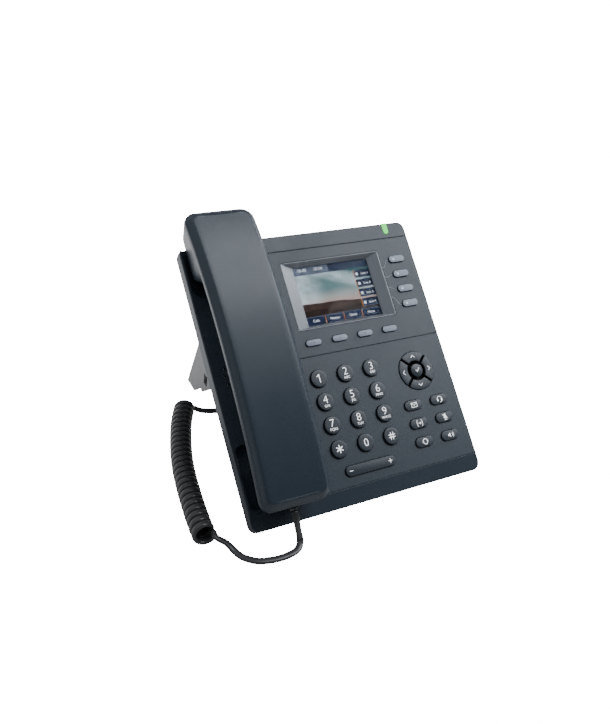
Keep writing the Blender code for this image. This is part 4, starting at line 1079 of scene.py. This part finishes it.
flange = 0.0007                 # how far a key's hidden flange reaches past its cap
dial_marks = {"1": ("", ""), "2": ("2", "ABC"), "3": ("3", "DEF"), "4": ("4", "GHI"), "5": ("5", "JKL"),
              "6": ("6", "MNO"), "7": ("7", "PQRS"), "8": ("8", "TUV"), "9": ("9", "WXYZ"), "star": ("", ""),
              "0": ("0", ""), "hash": ("", "")}
digit_size = 0.0075
letter_size = 0.00235
for digit, (figure, letters) in dial_marks.items():
    name = "dial_key_" + digit
    u, v, top, width, height = key_frame(name)
    radius = width / 2 - flange
    rings = rounded_rim(top - 0.00005, rim_soft) + [(radius * 0.35, top - 0.00002), (radius * 0.70, top)]
    cap = cap_shape(lambda inset, r=radius: arc(r - inset, 0, 352.5, 47), rings, top)
    show(name.replace("dial_key", "dial_cap"), merged([(cap, at(u, v))]), dark_cap, name, (name,))
    parts = []
    if figure:
        parts.append((lettering(figure, digit_size, ink_depth, -0.00008),
                      at(0, 0.0015 if letters else 0.0, -ink_depth / 2)))
    if letters:
        parts.append((lettering(letters, letter_size, ink_depth), at(0.0001, -0.0029, -ink_depth / 2)))
    if digit == "1":
        stroke = [(-0.0013, 0.0014), (0.0002, 0.0026), (0.0002, -0.0026)]
        parts += segment_shapes(stroke, 0.00060, -ink_depth, 0)
    if digit == "star":
        for turn in range(3):
            spoke = [(math.cos(math.radians(90 + 60 * turn)) * 0.0024 * s,
                      math.sin(math.radians(90 + 60 * turn)) * 0.0024 * s) for s in (-1, 1)]
            parts += segment_shapes(spoke, 0.00070, -ink_depth, -turn * 0.000002)
    if digit == "hash":
        for x in (-0.0009, 0.0009):
            parts += segment_shapes([(x - 0.0003, -0.0023), (x + 0.0003, 0.0023)], 0.00050, -ink_depth, 0)
        for y in (-0.0008, 0.0008):
            parts += segment_shapes([(-0.0023, y), (0.0023, y)], 0.00050, -ink_depth, -0.000004)
    show("print_" + name, merged([(merged(parts), at(u, v, top + ink_proud))]), white_ink_painted_glow, name)

chevron = [(-0.0014, -0.0007), (0, 0.0007), (0.0014, -0.0007)]
function_marks = {
    "message_key": dict(lines=[rectangle(-0.0022, -0.0015, 0.0044, 0.0030) + [(-0.0022, -0.0015)],
                               [(-0.0021, 0.0013), (0, -0.0003), (0.0021, 0.0013)]], width=0.00052),
    "headset_key": dict(lines=[arc(0.0019, -35, 215, 14),
                               [(0.0015, -0.0012), (0.0008, -0.0022), (0.0001, -0.0022)]],
                        areas=[rectangle(-0.0021, -0.0014, 0.0009, 0.0016),
                               rectangle(0.0012, -0.0014, 0.0009, 0.0016)],
                        width=0.00055),
    "transfer_key": dict(lines=[arc(0.0040, 148, 212, 8, (0.0018, 0)), arc(0.0040, -32, 32, 8, (-0.0018, 0)),
                                [(-0.0010, 0), (0.0010, 0)],
                                [(0.0003, 0.0007), (0.0010, 0), (0.0003, -0.0007)]],
                         width=0.00055),
    "mute_key": dict(lines=[[(0, -0.0009), (0, -0.0021)], [(-0.0010, -0.0021), (0.0010, -0.0021)],
                            arc(0.0014, 190, 350, 8, (0, 0.0003)), [(-0.0018, 0.0018), (0.0018, -0.0014)]],
                     areas=[arc(0.0008, 0, 180, 8, (0, 0.0014)) + arc(0.0008, 180, 360, 8, (0, 0.0001))],
                     width=0.00042),
    "redial_key": dict(lines=[arc(0.0018, 25, 155, 9), arc(0.0018, 205, 335, 9)],
                       areas=[[(0.0010, 0.0004), (0.0024, 0.0004), (0.0017, -0.0006)],
                              [(-0.0024, -0.0004), (-0.0010, -0.0004), (-0.0017, 0.0006)]], width=0.00062),
    "speaker_key": dict(lines=[arc(0.0011, -48, 48, 7, (0.0004, 0)), arc(0.0020, -48, 48, 9, (0.0004, 0))],
                        areas=[[(-0.0022, -0.0006), (-0.0014, -0.0006), (-0.0002, -0.0016), (-0.0002, 0.0016),
                                (-0.0014, 0.0006), (-0.0022, 0.0006)]], width=0.00048),
}


def bar_cap(title, name, material):
    """A bar-shaped cap in place of a CAD key's; gives its middle, its top's height and its size."""
    u, v, top, width, height = key_frame(name)
    size = (width - 2 * flange, height - 2 * flange)
    cap = cap_shape(lambda inset: bar_outline(*size, inset), rounded_rim(top, rim_soft))
    show(title, merged([(cap, at(u, v))]), material, name, (name,))
    return u, v, top, size


for name, mark in function_marks.items():
    u, v, top, size = bar_cap(name.replace("_key", "_cap"), name, dark_cap)
    show("print_" + name, merged([(mark_shape(**mark), at(u + 0.0004, v, top + ink_proud))]), white_ink_painted_glow, name)

u, v, top, size = bar_cap("volume_cap", "volume_rocker", dark_cap)
sign_reach = size[0] / 2 - 0.0040
show("print_volume_cap", merged([
    (mark_shape(lines=[[(-0.0012, 0), (0.0012, 0)]], width=0.0006), at(u - sign_reach, v, top + ink_proud)),
    (mark_shape(lines=[[(-0.0013, 0), (0.0013, 0)], [(0, -0.0013), (0, 0.0013)]], width=0.0006),
     at(u + sign_reach, v, top + ink_proud))]), white_ink_painted_glow, "volume_rocker")

lamp_white = glowing("lamp_white", (0.95, 0.97, 1.0), 1.6, 0.05)
spot_grey = moulded("spot_grey", (0.10, 0.12, 0.15), 0.5, 3000, 0.000006, 0.05, 0.05, 0)
for kind, lamp, shift, radius in (("soft", spot_grey, 0.0, 0.00045), ("line", lamp_white, -0.22, 0.00062)):
    for index in range(4):
        name = f"{kind}_key_{index + 1}"
        u, v, top, size = bar_cap(f"{kind}_cap_{index + 1}", name, pale_cap)
        lens = ring_shape([(0, -0.0003), (radius, -0.0003), (radius, 0.00002), (radius * 0.6, 0.00010),
                           (0, 0.00013)], 20)
        show(f"{kind}_lamp_{index + 1}", merged([(lens, at(u + shift * size[0], v, top))]), lamp, name)

nav_outer = 0.0137
nav_inner = 0.0071
nav_split = 0.0016


def arrow_outline(facing, inset):
    """A quarter of the arrow ring, with parallel gaps to its neighbours."""
    outer = nav_outer - inset
    inner = nav_inner + inset
    split = nav_split / 2 + inset
    outer_half = 45 - math.degrees(math.asin(split / outer))
    inner_half = 45 - math.degrees(math.asin(split / inner))
    return (arc(outer, facing - outer_half, facing + outer_half, 16)
            + arc(inner, facing + inner_half, facing - inner_half, 10))


ok_u, ok_v, ok_top, ok_width = key_frame("ok_key")[:4]
for name, facing in (("nav_right_key", 0), ("nav_up_key", 90), ("nav_left_key", 180), ("nav_down_key", 270)):
    top = face_box(name)[1].z
    cap = cap_shape(lambda inset, f=facing: arrow_outline(f, inset), rounded_rim(top, 0.0004))
    show(name.replace("_key", "_cap"), merged([(cap, at(ok_u, ok_v))]), dark_cap, name, (name,))
    tip = at(ok_u, ok_v, top + ink_proud, math.radians(facing - 90)) @ at(0, (nav_outer + nav_inner) / 2)
    show("print_" + name, merged([(mark_shape(lines=[chevron], width=0.00062), tip)]), white_ink_painted_glow, name)
ok_radius = ok_width / 2 - flange - 0.0005
ok_rings = rounded_rim(ok_top - 0.0006, 0.0004)
ok_rings += [(ok_radius * 0.25, ok_top - 0.0004), (ok_radius * 0.50, ok_top - 0.00018),
             (ok_radius * 0.75, ok_top - 0.00004)]
ok_cap = cap_shape(lambda inset: arc(ok_radius - inset, 0, 352.5, 47), ok_rings, ok_top)
show("ok_cap", merged([(ok_cap, at(ok_u, ok_v))]), dark_cap, "ok_key", ("ok_key",))
show("print_ok_key", merged([(mark_shape(lines=[[(-0.0013, 0.0001), (-0.0004, -0.0010), (0.0015, 0.0012)]],
                                         width=0.00060), at(ok_u, ok_v, ok_top + ink_proud))]),
     white_ink_painted_glow, "ok_key")

# ---- panel lines and lamp -------------------------------------------------------------------------------
# Thin pale lines printed on the shell lead from the screen's labels to the keys on its right.
# The message lamp is a strip of clear green acrylic let into the top edge, lit from below.
line_ink = moulded("line_ink", (0.30, 0.33, 0.38), 0.55, 4200, 0.000006, 0.04, 0.05, 0)
screen_right = face_box("screen_bezel")[1].x
leaders = []
label_first = 0.1550
label_pitch = 0.0076
for index in range(4):
    u, v, top, width, height = key_frame(f"line_key_{index + 1}")
    key_left = u - width / 2 + flange
    start = label_first - label_pitch * index
    reach = key_left - screen_right
    leaders += segment_shapes([(screen_right + reach * 0.06, start), (screen_right + reach * 0.30, start),
                               (screen_right + reach * 0.72, v), (screen_right + reach * 0.93, v)], 0.00032,
                              -0.0001, 0.00003)
show("leader_lines", merged(leaders), line_ink, "body")

lamp_green = bpy.data.materials.new("lamp_green")
lamp_green.use_nodes = True
lamp_tree = lamp_green.node_tree
lamp_shader = lamp_tree.nodes["Principled BSDF"]
lamp_shader.inputs["Base Color"].default_value = (0.02, 0.60, 0.04, 1)
lamp_shader.inputs["Roughness"].default_value = 0.22
lamp_shader.inputs["Emission Strength"].default_value = 1.1
lamp_mix = lamp_tree.nodes.new("ShaderNodeMix")
lamp_mix.data_type = "RGBA"
lamp_mix.inputs["A"].default_value = (0.01, 0.62, 0.03, 1)
lamp_mix.inputs["B"].default_value = (0.06, 0.90, 0.08, 1)
lamp_place = lamp_tree.nodes.new("ShaderNodeTexCoord").outputs["Object"]
wire(lamp_tree, (noise_node(lamp_tree, lamp_place, 220.0, 1.0), lamp_mix.inputs["Factor"]),
     (lamp_mix.outputs["Result"], lamp_shader.inputs["Emission Color"]))
finish_node(lamp_green, "led_light_pipe")

# ---- handset --------------------------------------------------------------------------------------------
# Two ABS shells that snap together on an arched seam: a smooth top with chamfered sides, and an underside
# with an ear block, a mouth block and a slim grip between them.
handset_plastic = moulded("handset_plastic", slate_colour, 0.36, 2600, 0.000014, 0.04, 0.06, 0.25, 0.0005)
handset_left = 0.001
handset_width = 0.0470
handset_low = 0.0092
handset_high = 0.2020
handset_mid = handset_left + handset_width / 2
handset_corner = 0.0080
inner_corner = 0.0042           # least radius of the chamfer's inner edge in plan
end_height = 0.0200
arch = 0.0098
crown_place = 0.118
handset_lip = 0.0008
handset_rise = 0.0040
handset_chamfer = 0.0042
shoulder_drop = 0.0030
grip_depth = 0.0150
grip_undercut = 0.0070
ear_undercut = 0.0045
mouth_undercut = 0.0095
mouth_floor = -0.0025
ear_floor = -0.0040
mouth_block = 0.0420
ear_block = 0.0470
block_blend = 0.0130
toe_size = (0.0090, 0.0090)
heel_size = (0.0085, 0.0160)
seam_half = 0.00015
columns = 14
corner_steps = 9
side_steps = 60


def smooth(x):
    """A soft step from 0 to 1."""
    x = min(1.0, max(0.0, x))
    return x * x * (3 - 2 * x)


def parting(v):
    """Height of the seam: an arch over the body."""
    reach = crown_place - handset_low if v < crown_place else handset_high - crown_place
    return end_height + arch * (1 - ((v - crown_place) / reach) ** 2)


def underside(v):
    """Height of the underside: a block at each end and a raised grip between them."""
    from_low = v - handset_low
    from_high = handset_high - v
    grip = parting(v) - grip_depth
    mouth = smooth((mouth_block - from_low) / block_blend)
    ear = smooth((ear_block - from_high) / block_blend)
    height = grip + (mouth_floor - grip) * mouth + (ear_floor - grip) * ear
    toe = toe_size[1] * (1 - smooth(from_low / toe_size[0]))
    heel = heel_size[1] * (1 - smooth(from_high / heel_size[0]))
    return height + toe + heel


def undercut(v):
    """How far the underside's edge lies inside the seam."""
    from_low = v - handset_low
    from_high = handset_high - v
    mouth = smooth((mouth_block - from_low) / block_blend)
    ear = smooth((ear_block - from_high) / block_blend)
    return grip_undercut + (mouth_undercut - grip_undercut) * mouth + (ear_undercut - grip_undercut) * ear


def plan_outline(inset):
    """The handset's outline from above, inset evenly, with how far each point's normal leans sideways."""
    radius = max(handset_corner - inset, min(inner_corner, handset_corner))
    half = handset_width / 2 - inset - radius
    low = handset_low + inset + radius
    high = handset_high - inset - radius
    points = [((2 * i / columns - 1) * half, low - radius, 0.0) for i in range(columns)]
    for side, start, centre_v in ((1, -90, low), (1, 0, high)):
        for i in range(corner_steps):
            angle = math.radians(start + 90 * i / corner_steps)
            lean = math.cos(angle)
            points.append((half + radius * lean, centre_v + radius * math.sin(angle), lean))
        if start == -90:
            points += [(half + radius, low + (high - low) * i / side_steps, 1.0) for i in range(side_steps)]
    points += [((1 - 2 * i / columns) * half, high + radius, 0.0) for i in range(columns)]
    for start, centre_v in ((90, high), (180, low)):
        for i in range(corner_steps):
            angle = math.radians(start + 90 * i / corner_steps)
            lean = math.cos(angle)
            points.append((-half + radius * lean, centre_v + radius * math.sin(angle), lean))
        if start == 90:
            points += [(-half - radius, high - (high - low) * i / side_steps, -1.0)
                       for i in range(side_steps)]
    return points


def fill_across(shape, loop, height, dome):
    """Close a loop of the handset's outline with rows of faces from its left side to its right."""
    rows = 2 * corner_steps + side_steps
    count = len(loop)
    grid = [loop[:columns + 1]]
    for k in range(1, rows):
        left = loop[count - k]
        right = loop[columns + k]
        row = [left]
        for c in range(1, columns):
            share = c / columns
            spot = left.co.lerp(right.co, share)
            spot.z = height(spot.y) + dome * (1 - (2 * share - 1) ** 2)
            row.append(shape.verts.new(spot))
        grid.append(row + [right])
    grid.append([loop[columns + rows + columns - c] for c in range(columns + 1)])
    for one, two in zip(grid, grid[1:]):
        for c in range(columns):
            shape.faces.new((one[c], one[c + 1], two[c + 1], two[c]))


def shell_shape(rings, far_height, seam_height, dome):
    """A closed handset shell from rings of points, closed across its far side and across the seam."""
    shape = bmesh.new()
    loops = [[shape.verts.new(point) for point in ring] for ring in rings]
    sides = len(loops[0])
    for one, two in zip(loops, loops[1:]):
        for i in range(sides):
            j = (i + 1) % sides
            shape.faces.new((one[i], one[j], two[j], two[i]))
    fill_across(shape, loops[-1], far_height, dome)
    fill_across(shape, loops[0], seam_height, 0.0)
    bmesh.ops.recalc_face_normals(shape, faces=shape.faces)
    return shape


crown_rise = handset_lip + handset_rise
top_dome = 0.0002
top_profile = [(0.0, seam_half), (0.0, handset_lip - 0.0005), (0.00008, handset_lip - 0.00018),
               (0.00030, handset_lip + 0.0001), (0.00070, handset_lip + 0.00040)]
for share in (0.35, 0.65):
    top_profile.append((0.0007 + (handset_chamfer - 0.0014) * share,
                        handset_lip + 0.0004 + (handset_rise - 0.0008) * share))
top_profile += [(handset_chamfer - 0.0003, crown_rise - 0.00020),
                (handset_chamfer - 0.0001, crown_rise - 0.00011),
                (handset_chamfer + 0.0002, crown_rise - 0.00004), (handset_chamfer + 0.0005, crown_rise)]
top_rings = [[(u, v, parting(v) + rise) for u, v, lean in plan_outline(inset)] for inset, rise in top_profile]
top_shape = shell_shape(top_rings, lambda v: parting(v) + crown_rise, lambda v: parting(v) + seam_half,
                        -top_dome)
show("handset_top", merged([(top_shape, at(handset_mid, 0))]), handset_plastic, "handset",
     ("handset_top_shell",), sharp=50)

bottom_rings = [[(u, v, parting(v) - seam_half) for u, v, lean in plan_outline(0.0)],
                [(u, v, parting(v) - shoulder_drop * 0.8) for u, v, lean in plan_outline(0.0)]]
for share, inset in ((0.02, 0.00002), (0.08, 0.00008), (0.30, 0.00008), (0.60, 0.00008), (0.86, 0.00010),
                     (0.93, 0.00025), (0.975, 0.00065), (0.995, 0.0012), (1.0, 0.0020)):
    ring = []
    for u, v, lean in plan_outline(inset):
        shoulder = parting(v) - shoulder_drop
        ring.append((u - lean * undercut(v) * share, v, shoulder + (underside(v) - shoulder) * share))
    bottom_rings.append(ring)
bottom_shape = shell_shape(bottom_rings, underside, lambda v: parting(v) - seam_half, 0.0)
show("handset_bottom", merged([(bottom_shape, at(handset_mid, 0))]), handset_plastic, "handset",
     ("handset_bottom_shell",), sharp=50)

# Sound holes: rings of them over the receiver and a row of three over the microphone, drawn as discs of
# painted shade.


def disc_tree(name, material):
    """Flat round plugs at the seed points: painted shade standing for the dark mouths of drilled holes."""
    tree, given, names = new_tree(name, [("Radius", "NodeSocketFloat", 0.001),
                                         ("Depth", "NodeSocketFloat", 0.0003)])
    disc = tree.nodes.new("GeometryNodeMeshCylinder")
    disc.inputs["Vertices"].default_value = 16
    spread = tree.nodes.new("GeometryNodeInstanceOnPoints")
    wire(tree, (given.outputs["Radius"], disc.inputs["Radius"]),
         (given.outputs["Depth"], disc.inputs["Depth"]),
         (given.outputs["Geometry"], spread.inputs["Points"]),
         (disc.outputs["Mesh"], spread.inputs["Instance"]))
    finish_tree(tree, spread.outputs["Instances"], material)
    return tree, names


sound_tree, sound_names = disc_tree("sound_hole", shadow_black)
ear_spot = (handset_mid, handset_high - 0.0225)
mic_spot = (handset_mid, handset_low + 0.0185)
hole_spots = [(*ear_spot, ear_floor)]
for ring, count in ((0.0034, 6), (0.0066, 12)):
    hole_spots += [(ear_spot[0] + x, ear_spot[1] + y, ear_floor)
                   for x, y in arc(ring, 0, 360 - 360 / count, count - 1)]
hole_spots += [(mic_spot[0] + x, mic_spot[1], mouth_floor) for x in (-0.003, 0.0, 0.003)]
hole_size = {"Radius": 0.0008, "Depth": 0.00012}
show("sound_holes", grow("sound_holes", sound_tree, sound_names, hole_size, hole_spots), shadow_black,
     "handset")

grip_ring = [(0.0036, -0.0006), (0.0036, 0.0006), (0.0032, 0.0010), (0.0026, 0.0010), (0.0026, -0.0006)]
cord_grip = ring_shape(grip_ring, 32, True)
show("cord_grip", merged([(cord_grip, at(handset_mid, handset_low - 0.0001, 0.0123, math.pi / 2, "X")
                           @ Matrix.Diagonal((1.0, 0.86, 1.0, 1.0)))]), jack_nylon, "handset")

plug_clear = bpy.data.materials.new("plug_clear")
plug_clear.use_nodes = True
plug_tree = plug_clear.node_tree
plug_shader = plug_tree.nodes["Principled BSDF"]
plug_shader.inputs["Base Color"].default_value = (0.75, 0.78, 0.80, 1)
plug_shader.inputs["Transmission Weight"].default_value = 0.7
plug_place = plug_tree.nodes.new("ShaderNodeTexCoord").outputs["Object"]
plug_haze = sum_node(plug_tree, "MULTIPLY", noise_node(plug_tree, plug_place, 300.0), 0.15)
wire(plug_tree, (sum_node(plug_tree, "ADD", plug_haze, 0.10), plug_shader.inputs["Roughness"]))
finish_node(plug_clear, "cord_plug", "handset_plug")

# ---- hook switch ----------------------------------------------------------------------------------------
# A black nylon paddle in the ear recess; the resting handset holds it down against its spring.
finish_node(jack_nylon, "hook_switch")
